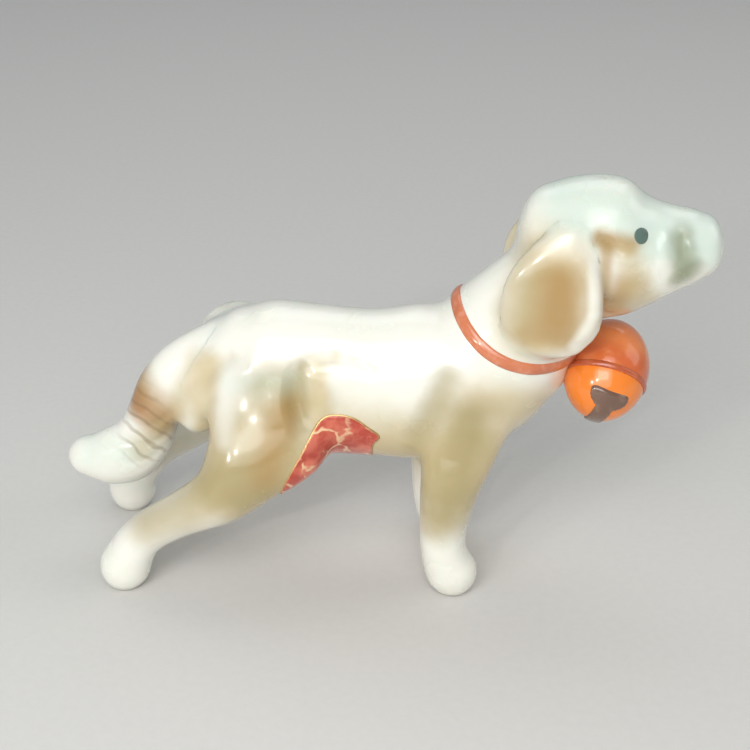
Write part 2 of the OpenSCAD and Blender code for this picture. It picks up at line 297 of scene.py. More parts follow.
class Clay:
    """A quad mesh as arrays, with the smoothing and modelling that a potter would give it."""

    def __init__(self, mesh):
        count = len(mesh.vertices)
        self.co = np.empty(count * 3, np.float32)
        mesh.vertices.foreach_get("co", self.co)
        self.co = self.co.reshape(-1, 3).astype(float)
        edges = np.empty(len(mesh.edges) * 2, np.int32)
        mesh.edges.foreach_get("vertices", edges)
        self.edges = edges.reshape(-1, 2)
        self.ends = self.edges.ravel()
        self.others = self.edges[:, ::-1].ravel()
        self.degree = np.maximum(np.bincount(self.ends, minlength=count), 1)[:, None]
        self.quads = np.array([p.vertices[:] if len(p.vertices) == 4 else (*p.vertices, p.vertices[0])
                               for p in mesh.polygons])

    def around(self, values):
        """The mean of each point's neighbours."""
        total = [np.bincount(self.ends, column[self.others], len(values)) for column in values.T]
        return np.stack(total, 1) / self.degree

    def normals(self):
        a, b, c, d = (self.co[self.quads[:, k]] for k in range(4))
        face = np.cross(c - a, d - b)
        out = np.zeros_like(self.co)
        for k in range(3):
            out[:, k] = sum(np.bincount(self.quads[:, j], face[:, k], len(self.co)) for j in range(4))
        return out / np.maximum(np.linalg.norm(out, axis=1, keepdims=True), 1e-12)

    def relax(self, rounds, inward=0.60, outward=-0.63):
        """Takes facets and ripples out and keeps the volume."""
        for _ in range(rounds):
            self.co += inward * (self.around(self.co) - self.co)
            self.co += outward * (self.around(self.co) - self.co)

    def fill(self, rounds, weight):
        """Lets glaze run into the hollows, where weight, one number a point, allows it."""
        for _ in range(rounds):
            normal = self.normals()
            rise = ((self.around(self.co) - self.co) * normal).sum(1)
            self.co += normal * (np.maximum(rise, 0) * weight)[:, None]

    def even(self, rounds, weight):
        """Evens out broad flats where weight allows it, and puts the lost girth back."""
        rough = self.co.copy()
        for _ in range(rounds):
            self.co += 0.6 * (self.around(self.co) - self.co)
        normal = self.normals()
        lost = self.blurred(((rough - self.co) * normal).sum(1), rounds // 2)
        self.co += normal * lost[:, None]
        self.co = rough + (self.co - rough) * weight[:, None]

    def blurred(self, values, rounds):
        values = values[:, None]
        for _ in range(rounds):
            values = self.around(values)
        return values[:, 0]


def along(points, at):
    """Distance from each row of at to the polyline, and how far along it, from 0 to 1."""
    points = np.asarray(points, float)
    steps = np.diff(points, axis=0)
    lengths = np.linalg.norm(steps, axis=1)
    starts = np.concatenate([[0], np.cumsum(lengths)])
    best, where = np.full(len(at), np.inf), np.zeros(len(at))
    for p, step, size, start in zip(points, steps, lengths, starts):
        t = np.clip(((at - p) @ step) / max(size * size, 1e-12), 0, 1)
        gap = np.linalg.norm(at - p - t[:, None] * step, axis=1)
        nearer = gap < best
        best[nearer] = gap[nearer]
        where[nearer] = (start + t[nearer] * size) / starts[-1]
    return best, where


def smooth_curve(points, count=24):
    """A smooth curve through the points (Catmull-Rom)."""
    p = np.asarray(points, float)
    p = np.vstack([2 * p[0] - p[1], p, 2 * p[-1] - p[-2]])
    out = []
    for i in range(1, len(p) - 2):
        for t in np.linspace(0, 1, count, endpoint=False):
            a, b, c, d = p[i - 1:i + 3]
            out.append(0.5 * (2 * b + (c - a) * t + (2 * a - 5 * b + 4 * c - d) * t ** 2
                              + (3 * b - a - 3 * c + d) * t ** 3))
    return np.array(out + [p[-2]])


def stroke(clay, normals, side, points, radius, depth, taper, facing):
    """A soft groove (depth above 0) or ridge, drawn in side view as (x, z) in millimetres.
    side is -1 for the right flank, 1 for the left, 0 for both. The stroke fades out over the share
    taper of its length at either end, and where the skin turns less than facing to the side."""
    at = clay.co[:, [0, 2]] / MM
    gap, where = along(smooth_curve(points, 8), at)
    fade = np.clip(1 - (gap / radius) ** 2, 0, None) ** 2
    turned = -normals[:, 1] if side < 0 else normals[:, 1] if side > 0 else np.abs(normals[:, 1])
    fade *= np.clip((turned - facing + 0.25) / 0.5, 0, 1)
    if side:
        fade *= clay.co[:, 1] * side > 0
    if taper:
        fade *= np.clip(np.minimum(where, 1 - where) / taper, 0, 1) ** 0.7
    clay.co -= normals * (fade * depth * MM)[:, None]


# All strokes: side, points (x, z) in mm, radius, depth, taper.
# Flanks: folds round the thighs, the haunches, the tail's root and the shoulders
FLANK_STROKES = [
    (-1, [(-8.2, 30.4), (-9.3, 28.6), (-9.2, 26.0), (-8.7, 23.6), (-8.3, 21.4)], 1.9, 0.55, 0.25),
    (-1, [(-9.0, 29.8), (-7.3, 30.9), (-4.6, 31.0), (-1.8, 30.2), (0.2, 29.2)], 1.7, 0.34, 0.3),
    (-1, [(-6.2, 29.0), (-5.8, 26.6), (-5.6, 24.4)], 1.5, -0.16, 0.4),
    (-1, [(-11.3, 28.6), (-11.8, 26.0), (-11.4, 23.0)], 2.0, -0.20, 0.4),
    (-1, [(-14.9, 30.6), (-17.6, 30.2), (-20.2, 28.2), (-22.4, 25.0)], 1.6, 0.42, 0.25),
    (-1, [(-19.6, 28.6), (-20.2, 25.6), (-20.4, 22.4)], 1.5, 0.24, 0.4),
    (-1, [(9.0, 30.8), (7.4, 27.4), (5.6, 23.4), (4.2, 20.0)], 2.2, 0.42, 0.3),
    (-1, [(10.8, 27.6), (9.6, 23.8), (8.6, 20.0)], 2.6, -0.22, 0.4),
    (1, [(-10.6, 30.4), (-12.0, 28.2), (-12.2, 25.4), (-11.6, 22.8)], 1.9, 0.48, 0.25),
    (1, [(-11.0, 29.6), (-8.6, 30.8), (-5.2, 30.7), (-2.6, 29.8)], 1.7, 0.30, 0.3),
    (1, [(-19.6, 32.0), (-22.2, 30.2), (-24.0, 27.0)], 1.6, 0.36, 0.25),
    (1, [(7.6, 30.6), (6.0, 27.2), (4.2, 23.2), (2.8, 19.8)], 2.2, 0.40, 0.3),
    (1, [(9.2, 27.6), (8.0, 23.8), (7.2, 20.0)], 2.6, -0.22, 0.4),
]
# Face: eye socket, cheek folds, muzzle step, mouth, throat fold, and low bumps on the muzzle
FACE_STROKES = [
    (0, [(27.6, 46.6), (29.6, 46.1), (31.6, 46.6)], 1.2, 0.16, 0.35),
    (0, [(24.4, 47.3), (26.0, 46.6), (27.8, 45.2)], 0.9, 0.26, 0.3),
    (0, [(25.8, 44.4), (28.2, 43.8), (30.4, 43.9)], 0.8, 0.14, 0.3),
    (0, [(26.2, 41.6), (28.6, 40.3), (30.6, 40.2)], 2.0, -0.18, 0.4),
    (0, [(32.2, 48.0), (32.3, 45.4), (32.0, 42.6)], 1.0, -0.14, 0.3),
    (0, [(33.6, 46.8), (34.4, 45.2), (34.6, 43.4)], 1.0, 0.20, 0.3),
    (0, [(33.4, 43.4), (35.0, 42.9), (36.8, 43.2)], 0.7, 0.08, 0.4),
    (0, [(24.9, 38.6), (26.4, 37.0), (27.6, 37.2)], 0.8, 0.20, 0.3),
    (0, [(32.5, 47.2), (32.7, 46.6)], 0.7, -0.12, 0.0),
    (0, [(34.4, 47.6), (35.0, 47.2)], 0.7, -0.12, 0.0),
    (0, [(35.2, 45.9), (35.3, 45.3)], 0.7, -0.12, 0.0),
    (0, [(32.9, 44.2), (33.2, 43.6)], 0.7, -0.10, 0.0),
]
# Ears: soft front roll, slightly sunk middle, lower roll
EAR_STROKES = [
    (0, [(22.6, 45.6), (24.3, 43.4), (24.9, 40.6), (24.5, 37.4), (23.0, 35.0)], 1.0, -0.22, 0.2),
    (0, [(20.8, 42.6), (21.4, 40.4), (21.0, 37.8)], 2.4, 0.12, 0.4),
    (0, [(16.6, 35.6), (19.0, 34.2), (21.6, 34.8)], 1.3, -0.14, 0.35),
]
# Tail: locks combed down towards the tip
TAIL_STROKES = [
    (0, [(-25.6, 24.6), (-28.0, 22.6), (-30.6, 21.6)], 0.6, 0.07, 0.25),
    (0, [(-24.8, 22.6), (-27.2, 20.2), (-30.8, 19.6), (-33.0, 20.4)], 0.6, 0.11, 0.25),
    (0, [(-25.0, 19.8), (-27.6, 17.6), (-31.2, 17.4), (-33.6, 18.6)], 0.6, 0.12, 0.25),
    (0, [(-25.8, 17.2), (-28.6, 15.2), (-32.2, 14.8)], 0.6, 0.08, 0.25),
]


def islands(items, neighbours):
    """Sorts items into groups that hang together."""
    seen, groups = set(), []
    for first in items:
        if first in seen:
            continue
        seen.add(first)
        group, queue = [], [first]
        while queue:
            one = queue.pop()
            group.append(one)
            for other in neighbours(one):
                if other not in seen:
                    seen.add(other)
                    queue.append(other)
        groups.append(group)
    return groups


def keep_outer_shell(obj):
    """Keeps only the loose part of obj that is longest in x."""

    def work(bm):
        def reach(group):
            xs = [v.co.x for v in group]
            return max(xs) - min(xs)

        groups = islands(bm.verts, lambda v: [e.other_vert(v) for e in v.link_edges])
        groups.sort(key=reach)
        bmesh.ops.delete(bm, geom=[v for group in groups[:-1] for v in group], context="VERTS")

    reworked(obj.data, work)


def nearest_node(co, names):
    """For each point the place in names of the CAD node whose skin is nearest."""
    gaps = []
    for name in names:
        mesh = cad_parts[name].data
        tree = BVHTree.FromPolygons([v.co for v in mesh.vertices], [p.vertices[:] for p in mesh.polygons])
        gaps.append([tree.find_nearest(Vector(p))[3] for p in co])
    return np.argmin(np.array(gaps), axis=0)


def cap_plane(leg):
    """A leg's flat seam: its middle, and the normal that points up out of the leg."""
    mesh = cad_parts[leg].data
    groups = {}
    for p in mesh.polygons:
        if p.area > 0 and p.normal.z >= 0.2:
            groups.setdefault(tuple(round(v, 2) for v in p.normal), []).append(p)
    best = max(groups.values(), key=lambda g: sum(p.area for p in g))
    area = sum(p.area for p in best)
    middle = sum((p.center * p.area for p in best), Vector()) / area
    return middle, best[0].normal.copy()


def above(low, high, value):
    """0 below low, 1 above high, even in between."""
    return np.clip((value - low) / (high - low), 0, 1)


def round_spot(x, z, middle, reach):
    """1 at the middle of an oval in side view, 0 at its rim."""
    return np.clip(1 - np.hypot((x - middle[0]) / reach[0], (z - middle[1]) / reach[1]), 0, 1)


def broad_weight(x, z):
    """How far each point (side view, mm) may be evened out: less on ears, face, paws and tail tip."""
    ears = above(11.5, 14.0, x) * (1 - above(25.5, 27.0, x))
    ears = ears * above(32.5, 34.5, z) * (1 - above(46.5, 48.5, z))
    brow = above(46.4, 48.0, z) * (1 - above(33.0, 36.0, x))
    face = above(27.5, 31.0, x) * above(35.0, 38.0, z) * (1 - brow)
    paws = 1 - above(4.0, 8.0, z)
    tip = 1 - above(-35.0, -31.0, x)
    return 1 - np.clip(0.75 * ears + 0.6 * face + 0.7 * paws + 0.6 * tip, 0, 0.85)


VENT_X = 0.00233  # the vent hole's place along the trunk
PLUG_FLOOR = 0.0150
SOLE_LEVEL = 0.00012  # what is modelled lower than this lies on the ground
BOX_INSET = 0.00001
COLLAR_MIDDLE = np.array([0.0165, 0.0, 0.0338])
COLLAR_UP = np.array([0.415, 0.0, 0.910])


def vent_rod(width, low, high):
    """A rod on the vent hole's axis, between two heights."""
    return rod(width / 2, (VENT_X, 0.0, low), (VENT_X, 0.0, high))


def melted_forms():
    """The glazed CAD forms as one closed skin. The vent hole is plugged until the pieces are cut."""
    sizes = body_sizes()
    whole = form_of("trunk")
    for node in GLAZED[1:]:
        combine(whole, form_of(node, 0.00002), "UNION")
    combine(whole, vent_rod(sizes.vent * 1.6, PLUG_FLOOR + 0.0009, PLUG_FLOOR + 0.0024), "UNION")
    keep_outer_shell(whole)
    melt(whole, sizes.cell)
    keep_outer_shell(whole)
    return whole


def model_skin():
    """Makes the one glazed skin: the CAD forms melted together, smoothed, and modelled."""
    whole = melted_forms()
    clay = Clay(whole.data)
    clay.relax(36)
    # glaze fills the creases, most where the legs join the trunk
    x, _, z = (clay.co / MM).T
    haunch = round_spot(x, z, (-15, 22), (14, 12))
    shoulder = round_spot(x, z, (7, 20), (8, 10))
    clay.fill(26, 0.35 + 0.5 * np.clip(2 * np.maximum(haunch, shoulder), 0, 1))
    # long sweeps: ears into the nape, thigh into the belly, tail into the haunch
    nape = np.clip(np.maximum(18.6 - x, z - 44.8) / 2.0, 0, 1) * (z > 33) * (x > 11) * (x < 27)
    fold = np.clip(1.6 * round_spot(x, z, (-6.0, 17.5), (6.5, 6.0)), 0, 1)
    root = np.clip(1.6 * round_spot(x, z, (-20.5, 28.5), (5.5, 6.5)), 0, 1)
    clay.fill(110, np.maximum(np.maximum(nape, fold), root) * 0.9)
    clay.fill(160, nape)
    clay.even(80, broad_weight(x, z))
    clay.relax(8)
    normals = clay.normals()
    near = nearest_node(clay.co, GLAZED)
    ear = np.isin(near, [GLAZED.index("right_ear"), GLAZED.index("left_ear")])
    tail = near == GLAZED.index("tail")
    for strokes, where, facing in ((FLANK_STROKES + FACE_STROKES, ~(ear | tail), 0.25),
                                   (EAR_STROKES, ear, 0.25), (TAIL_STROKES, tail, 0.0)):
        before = clay.co.copy()
        for side, points, radius, depth, taper in strokes:
            stroke(clay, normals, side, points, radius, depth, taper, facing)
        clay.co[~where] = before[~where]
    clay.relax(3)
    # the soles stay flat on the ground, and nothing leaves the CAD box
    clay.co[:, 2] = np.where(clay.co[:, 2] < SOLE_LEVEL, 0.0, clay.co[:, 2])
    low, high = np.array(CAD_BOUNDS)
    clay.co = np.clip(clay.co, low + (BOX_INSET, BOX_INSET, 0), high - BOX_INSET)
    put_points(whole.data, clay.co)
    return whole, clay


def split_plane(bm, middle, normal, reach):
    """Cuts clean edges through the skin where a plane crosses it, within reach of middle."""
    near = [f for f in bm.faces if (f.calc_center_median() - middle).length < reach]
    edges = {e for f in near for e in f.edges}
    verts = {v for f in near for v in f.verts}
    bmesh.ops.bisect_plane(bm, geom=list(verts) + list(edges) + near, plane_co=middle,
                           plane_no=normal, dist=1e-6)


def cut_pieces(whole):
    """Cuts the skin into its pieces. Each piece is closed."""
    bm = bmesh.new()
    bm.from_mesh(whole.data)
    seams = {leg: cap_plane(leg) for leg in LEGS}
    for leg, (middle, normal) in seams.items():
        split_plane(bm, middle, normal, 0.0062)
    bm.verts.ensure_lookup_table()
    bm.faces.ensure_lookup_table()
    names = ["trunk", "head", "right_ear", "left_ear", "tail"]
    co = np.array([f.calc_center_median() for f in bm.faces])
    label = nearest_node(co, names)
    # the neck is parted under the collar
    upper = (co - COLLAR_MIDDLE) @ COLLAR_UP + sag(co[:, 1]) > 0
    neck = np.isin(label, [0, 1])
    label[neck] = np.where(upper[neck], 1, 0)
    for leg in LEGS:
        names.append(leg)
        middle, normal = seams[leg]
        low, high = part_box(leg)
        room = 0.0012
        inside = np.all((co > np.array(low) - room) & (co < np.array(high) + room), axis=1)
        below = (co - np.array(middle)) @ np.array(normal) < 0
        label[inside & below & (label == 0)] = len(names) - 1
    label = smooth_labels(bm, tidy_labels(bm, label))
    pieces = {}
    for i, name in enumerate(names):
        part = bm.copy()
        part.faces.ensure_lookup_table()
        spare = [f for f, which in zip(part.faces, label) if which != i]
        bmesh.ops.delete(part, geom=spare, context="FACES")
        close_holes(part)
        bmesh.ops.triangulate(part, faces=[f for f in part.faces if len(f.verts) > 4])
        mesh = bpy.data.meshes.new(name)
        part.to_mesh(mesh)
        part.free()
        pieces[name] = linked(name, mesh)
    bm.free()
    return pieces


def votes_round(faces, label, skip):
    """Counts the pieces that the faces' neighbours belong to, apart from the neighbours skip names."""
    votes = {}
    for f in faces:
        for e in f.edges:
            for o in e.link_faces:
                if not skip(f, o):
                    votes[label[o.index]] = votes.get(label[o.index], 0) + 1
    return votes


def tidy_labels(bm, label):
    """Gives islands of a few faces to the piece around them."""
    for _ in range(3):
        alike = islands(bm.faces, lambda f: [o for e in f.edges for o in e.link_faces
                                             if label[o.index] == label[f.index]])
        groups = {}
        for group in alike:
            groups.setdefault(label[group[0].index], []).append(group)
        changed = False
        for which, parts in groups.items():
            parts.sort(key=len)
            for group in parts[:-1]:
                votes = votes_round(group, label, lambda f, o: label[o.index] == which)
                if votes:
                    changed = True
                    label[[f.index for f in group]] = max(votes, key=votes.get)
        if not changed:
            break
    return label


def smooth_labels(bm, label):
    """Straightens a ragged seam: a face with three neighbours of another piece goes over to it."""
    for _ in range(3):
        new = label.copy()
        for f in bm.faces:
            votes = votes_round([f], label, lambda face, other: other is face)
            top = max(votes, key=votes.get)
            if votes[top] >= 3 and top != label[f.index]:
                new[f.index] = top
        label = new
    return label


def close_holes(bm):
    """Closes each open edge loop with a flat-lying cap."""
    rim = [e for e in bm.edges if e.is_boundary]
    for loop in islands(rim, lambda e: [o for v in e.verts for o in v.link_edges if o.is_boundary]):
        if not bmesh.ops.triangle_fill(bm, edges=loop, use_beauty=True, use_dissolve=False)["geom"]:
            raise RuntimeError("a seam could not be closed")
    bmesh.ops.recalc_face_normals(bm, faces=bm.faces)


def shade_as_one(obj, tree, co, faces, normals):
    """Gives the outside of a piece the normals of the whole skin, so that no seam shows."""
    mesh = obj.data
    smooth = []
    for v in mesh.vertices:
        corner = faces[tree.find_nearest(v.co)[2]]
        weights = 1 / (np.linalg.norm(co[corner] - np.array(v.co), axis=1) + 1e-7) ** 2
        smooth.append(Vector((normals[corner] * weights[:, None]).sum(0)).normalized())
    out = []
    for p in mesh.polygons:
        for i in p.vertices:
            out.append(smooth[i] if smooth[i].dot(p.normal) > 0.4 else p.normal)
    mesh.shade_smooth()
    mesh.normals_split_custom_set(out)


def sag(y):
    """How far the collar hangs down at a distance y from the middle."""
    return 0.002 * (y / 0.0066) ** 2


# ---- shader groups ---------------------------------------------------------------------------


class Tree:
    """Short words for building a node tree."""

    def __init__(self, tree):
        self.tree, self.count = tree, 0

    def add(self, kind, **settings):
        node = self.tree.nodes.new(kind)
        node.location = (200 * (self.count % 8), -220 * (self.count // 8))
        self.count += 1
        for key, value in settings.items():
            setattr(node, key, value)
        return node

    def link(self, source, target):
        self.tree.links.new(source, target)

    def feed(self, socket, value):
        if isinstance(value, bpy.types.NodeSocket):
            self.link(value, socket)
        elif value is not None:
            socket.default_value = value

    def math(self, operation, *values, clamp=False):
        node = self.add("ShaderNodeMath", operation=operation, use_clamp=clamp)
        for socket, value in zip(node.inputs, values):
            self.feed(socket, value)
        return node.outputs[0]

    def vector(self, operation, *values, scale=None):
        node = self.add("ShaderNodeVectorMath", operation=operation)
        for socket, value in zip(node.inputs, values):
            self.feed(socket, value)
        if scale is not None:
            self.feed(node.inputs["Scale"], scale)
        return node.outputs["Value" if operation in ("LENGTH", "DOT_PRODUCT") else "Vector"]

    def ramp(self, value, low, high, out_low=0.0, out_high=1.0):
        node = self.add("ShaderNodeMapRange", interpolation_type="SMOOTHSTEP")
        for socket, v in zip(node.inputs, (value, low, high, out_low, out_high)):
            self.feed(socket, v)
        return node.outputs[0]

    def mix(self, share, a, b, blend="MIX"):
        node = self.add("ShaderNodeMix", data_type="RGBA", blend_type=blend)
        self.feed(node.inputs[0], share)
        self.feed(node.inputs[6], a)
        self.feed(node.inputs[7], b)
        return node.outputs[2]

    def noise(self, vector, scale, detail=2.0, rough=0.5, distortion=0.0):
        return self.noise_node(vector, scale, detail, rough, distortion).outputs[0]

    def noise_node(self, *values):
        node = self.add("ShaderNodeTexNoise")
        for key, value in zip(("Vector", "Scale", "Detail", "Roughness", "Distortion"), values):
            self.feed(node.inputs[key], value)
        return node


def group_shell(name, inputs, outputs):
    """A new shader group with named sockets: (name, kind, default)."""
    group = bpy.data.node_groups.new(name, "ShaderNodeTree")
    kinds = {"number": "NodeSocketFloat", "colour": "NodeSocketColor", "vector": "NodeSocketVector"}
    for label, kind, default in inputs:
        socket = group.interface.new_socket(label, in_out="INPUT", socket_type=kinds[kind])
        if default is not None:
            socket.default_value = default
    for label, kind in outputs:
        group.interface.new_socket(label, in_out="OUTPUT", socket_type=kinds[kind])
    t = Tree(group)
    return t, t.add("NodeGroupInput"), t.add("NodeGroupOutput")


def airbrush_and_shade_group():
    """A soft sprayed spot or streak between two points; it also lays the painted shadow of the ear on the
    cheek.
    """
    name = "Airbrush"
    if name in bpy.data.node_groups:
        return bpy.data.node_groups[name]
    t, source, sink = group_shell(name, [
        ("Position", "vector", None), ("From", "vector", None), ("To", "vector", None),
        ("Radius", "number", 0.003), ("Softness", "number", 0.7), ("Both sides", "number", 0.0),
        ("Strength", "number", 1.0)], [("Mask", "number")])
    i = source.outputs
    parts = t.add("ShaderNodeSeparateXYZ")
    t.link(i["Position"], parts.inputs[0])
    right = t.math("MULTIPLY", t.math("ABSOLUTE", parts.outputs[1]), -1.0)
    y = t.math("ADD", t.math("MULTIPLY", right, i["Both sides"]),
               t.math("MULTIPLY", parts.outputs[1], t.math("SUBTRACT", 1.0, i["Both sides"])))
    place = t.add("ShaderNodeCombineXYZ")
    for socket, value in zip(place.inputs, (parts.outputs[0], y, parts.outputs[2])):
        t.feed(socket, value)
    wobble = t.noise(i["Position"], 170.0, 3.0, 0.5)
    flat = (1.0, 0.35, 1.0)  # sprayed from the side, so depth counts for less
    reach = t.vector("MULTIPLY", t.vector("SUBTRACT", i["To"], i["From"]), flat)
    offset = t.vector("MULTIPLY", t.vector("SUBTRACT", place.outputs[0], i["From"]), flat)
    squared = t.math("MAXIMUM", t.vector("DOT_PRODUCT", reach, reach), 1e-12)
    share = t.math("DIVIDE", t.vector("DOT_PRODUCT", offset, reach), squared, clamp=True)
    gap = t.vector("LENGTH", t.vector("SUBTRACT", offset, t.vector("SCALE", reach, scale=share)))
    ragged = t.math("ADD", t.math("DIVIDE", gap, i["Radius"]),
                    t.math("MULTIPLY", t.math("SUBTRACT", wobble, 0.5), 0.45))
    mask = t.ramp(ragged, 1.0, t.math("SUBTRACT", 1.0, i["Softness"]))
    t.link(t.math("MULTIPLY", mask, i["Strength"]), sink.inputs["Mask"])
    return t.tree


def glaze_group():
    """What a thick clear glaze does: pools in hollows and dimples faintly."""
    name = "Glaze"
    if name in bpy.data.node_groups:
        return bpy.data.node_groups[name]
    t, source, sink = group_shell(name, [
        ("Position", "vector", None), ("Colour", "colour", (0.8, 0.8, 0.75, 1)), ("Pool", "number", 0.0),
        ("Pool colour", "colour", (0.45, 0.40, 0.26, 1)), ("Bare colour", "colour", (0.62, 0.58, 0.52, 1))],
        [("Colour", "colour"), ("Roughness", "number"), ("Height", "number"), ("Coat", "number")])
    i = source.outputs
    cloud = t.noise(i["Position"], 140.0, 3.0, 0.6)
    fine = t.noise(i["Position"], 900.0, 2.0, 0.5)
    speck = t.add("ShaderNodeTexVoronoi")
    t.feed(speck.inputs["Vector"], i["Position"])
    t.feed(speck.inputs["Scale"], 420.0)
    pore = t.ramp(speck.outputs["Distance"], 0.05, 0.11, 1.0, 0.0)
    rare = t.ramp(t.noise(i["Position"], 230.0, 1.0), 0.68, 0.74)
    pore = t.math("MULTIPLY", pore, rare)
    tint = t.mix(t.ramp(cloud, 0.35, 0.70), (1.0, 1.0, 1.0, 1), (0.955, 0.975, 0.95, 1))
    colour = t.mix(1.0, i["Colour"], tint, "MULTIPLY")
    patchy = t.math("ADD", 0.6, t.math("MULTIPLY", cloud, 0.6))
    colour = t.mix(t.math("MULTIPLY", i["Pool"], patchy, clamp=True), colour, i["Pool colour"])
    colour = t.mix(t.math("MULTIPLY", pore, 0.16), colour, (0.33, 0.27, 0.2, 1))
    parts = t.add("ShaderNodeSeparateXYZ")
    t.link(i["Position"], parts.inputs[0])
    edge = t.math("ADD", parts.outputs[2], t.math("MULTIPLY", t.math("SUBTRACT", fine, 0.5), 0.0003))
    bare = t.ramp(edge, 0.00045, 0.00020)
    t.link(t.mix(bare, colour, i["Bare colour"]), sink.inputs["Colour"])
    rough = t.math("ADD", 0.20, t.math("MULTIPLY", cloud, 0.12))
    t.link(t.math("ADD", rough, t.math("MULTIPLY", bare, 0.55)), sink.inputs["Roughness"])
    height = t.math("ADD", t.math("MULTIPLY", cloud, 0.8), t.math("MULTIPLY", fine, 0.06))
    t.link(t.math("SUBTRACT", height, t.math("MULTIPLY", pore, 0.25)), sink.inputs["Height"])
    t.link(t.math("MULTIPLY", t.math("SUBTRACT", 1.0, bare), 0.7), sink.inputs["Coat"])
    return t.tree


def placed(t, group, **values):
    """Puts a group into the tree t, with its inputs by name."""
    node = t.add("ShaderNodeGroup", node_tree=group)
    for key, value in values.items():
        t.feed(node.inputs[key.replace("_", " ")], value)
    return node


def new_material(name):
    """A material with only a Principled shader: itself, its tree, the shader and the place socket."""
    material = bpy.data.materials.new(name)
    material.use_nodes = True
    material.node_tree.nodes.clear()
    t = Tree(material.node_tree)
    shader = t.add("ShaderNodeBsdfPrincipled")
    sink = t.add("ShaderNodeOutputMaterial")
    t.link(shader.outputs[0], sink.inputs["Surface"])
    place = t.add("ShaderNodeTexCoord").outputs["Object"]
    return material, t, shader, place


def coated(t, shader, finish, strength, distance):
    """Feeds a finish group's colour, roughness and height to the shader."""
    t.link(finish.outputs["Colour"], shader.inputs["Base Color"])
    t.link(finish.outputs["Roughness"], shader.inputs["Roughness"])
    bump = t.add("ShaderNodeBump")
    bump.inputs["Strength"].default_value = strength
    bump.inputs["Distance"].default_value = distance
    t.link(finish.outputs["Height"], bump.inputs["Height"])
    t.link(bump.outputs[0], shader.inputs["Normal"])


def mm(*point):
    return tuple(v * MM for v in point)


# airbrushed spots, and one painted shadow among them: colour, from, to (mm), radius (mm), softness, both
# sides, strength
BODY_SPOTS = [
    ("cream", (-15, -6, 17.0), (13, -6, 18.0), 11.5, 0.85, 1, 1.0),
    ("cream", (12.5, -7, 26.6), (18.5, -5, 25.2), 5.0, 0.9, 1, 0.75),
    ("olive", (-11.4, -8.4, 26.0), (-16.2, -11.5, 17.4), 8.2, 0.95, 0, 0.95),
    ("ochre", (-10.2, -8.2, 25.0), (-13.0, -9.4, 17.6), 3.8, 0.95, 0, 0.75),
    ("olive", (-16.5, -11.0, 16.6), (-27.4, -11.0, 10.4), 4.8, 0.95, 0, 0.72),
    ("white", (-18.2, -8.5, 27.6), (-17.6, -9.5, 21.6), 2.0, 0.95, 0, 0.45),
    ("mint", (-17.5, -8.0, 27.8), (-9.0, -7.0, 28.4), 2.8, 0.95, 0, 0.26),
    ("olive", (-17.6, -6.0, 30.4), (-22.4, -4.6, 24.8), 1.7, 0.9, 0, 0.18),
    ("cream", (-20.0, -6.6, 29.0), (-21.2, -5.4, 20.0), 2.6, 0.9, 0, 0.75),
    ("olive", (-8.9, -7.0, 29.4), (-8.3, -8.0, 22.6), 1.1, 0.9, 0, 0.50),
    ("olive", (-8.6, -6.6, 30.2), (-4.9, -6.2, 30.9), 1.3, 0.9, 0, 0.55),
    ("olive", (-4.9, -6.2, 30.9), (-0.5, -6.4, 29.8), 1.1, 0.9, 0, 0.45),
    ("cream", (-7.0, -7.2, 29.0), (-6.4, -7.4, 23.6), 2.2, 0.9, 0, 0.75),
    ("olive", (8.4, -7.2, 29.4), (4.6, -7.0, 19.6), 2.8, 0.95, 0, 0.60),
    ("olive", (11.0, -8.4, 24.6), (8.6, -9.6, 12.4), 5.6, 0.95, 0, 0.92),
    ("olive", (-13.2, 8.4, 26.4), (-18.5, 11.0, 17.4), 5.4, 0.95, 0, 0.78),
    ("olive", (-20.0, 10.6, 16.0), (-30.4, 10.6, 9.6), 4.0, 0.95, 0, 0.66),
    ("olive", (-19.4, 6.0, 31.6), (-24.0, 4.6, 27.0), 1.7, 0.9, 0, 0.50),
    ("olive", (-11.0, 7.0, 30.0), (-11.6, 8.0, 23.0), 1.1, 0.9, 0, 0.50),
    ("cream", (-8.8, 7.2, 29.0), (-8.2, 7.4, 23.6), 2.2, 0.9, 0, 0.75),
    ("olive", (7.0, 7.2, 29.4), (3.0, 7.0, 19.6), 2.3, 0.95, 0, 0.50),
    ("olive", (9.6, 8.4, 24.6), (7.2, 9.6, 12.4), 4.2, 0.95, 0, 0.60),
]
HEAD_SPOTS = [
    ("mint", (21.0, -3.0, 50.6), (36.8, -2.0, 47.4), 5.4, 0.95, 1, 0.62),
    ("mint", (30.4, -4.4, 46.0), (37.6, -3.0, 45.0), 3.4, 0.95, 1, 0.55),
    ("ochre", (25.0, -5.8, 47.2), (28.3, -6.0, 46.2), 1.8, 0.9, 1, 0.85),
    # painted shadow: an ochre strip down the cheek where the ear's front edge shades it
    ("ochre", (25.8, -6.2, 46.4), (25.6, -6.0, 39.6), 1.3, 0.9, 1, 0.70),
    ("ochre", (28.4, -6.0, 41.4), (27.0, -5.0, 38.6), 3.6, 0.95, 1, 0.90),
    ("cream", (28.2, -5.8, 45.4), (30.0, -5.0, 40.2), 3.0, 0.95, 1, 0.60),
    ("moss", (34.2, -4.0, 46.6), (34.6, -4.2, 42.8), 2.5, 0.9, 1, 0.72),
    ("moss", (35.8, -3.6, 43.2), (34.0, -3.6, 41.6), 1.9, 0.9, 1, 0.55),
    ("cream", (24.0, -3.0, 36.0), (31.0, -2.0, 38.4), 2.8, 0.9, 1, 0.55),
    ("olive", (17.0, -7.0, 45.6), (13.8, -7.0, 38.0), 1.5, 0.95, 1, 0.25),
]
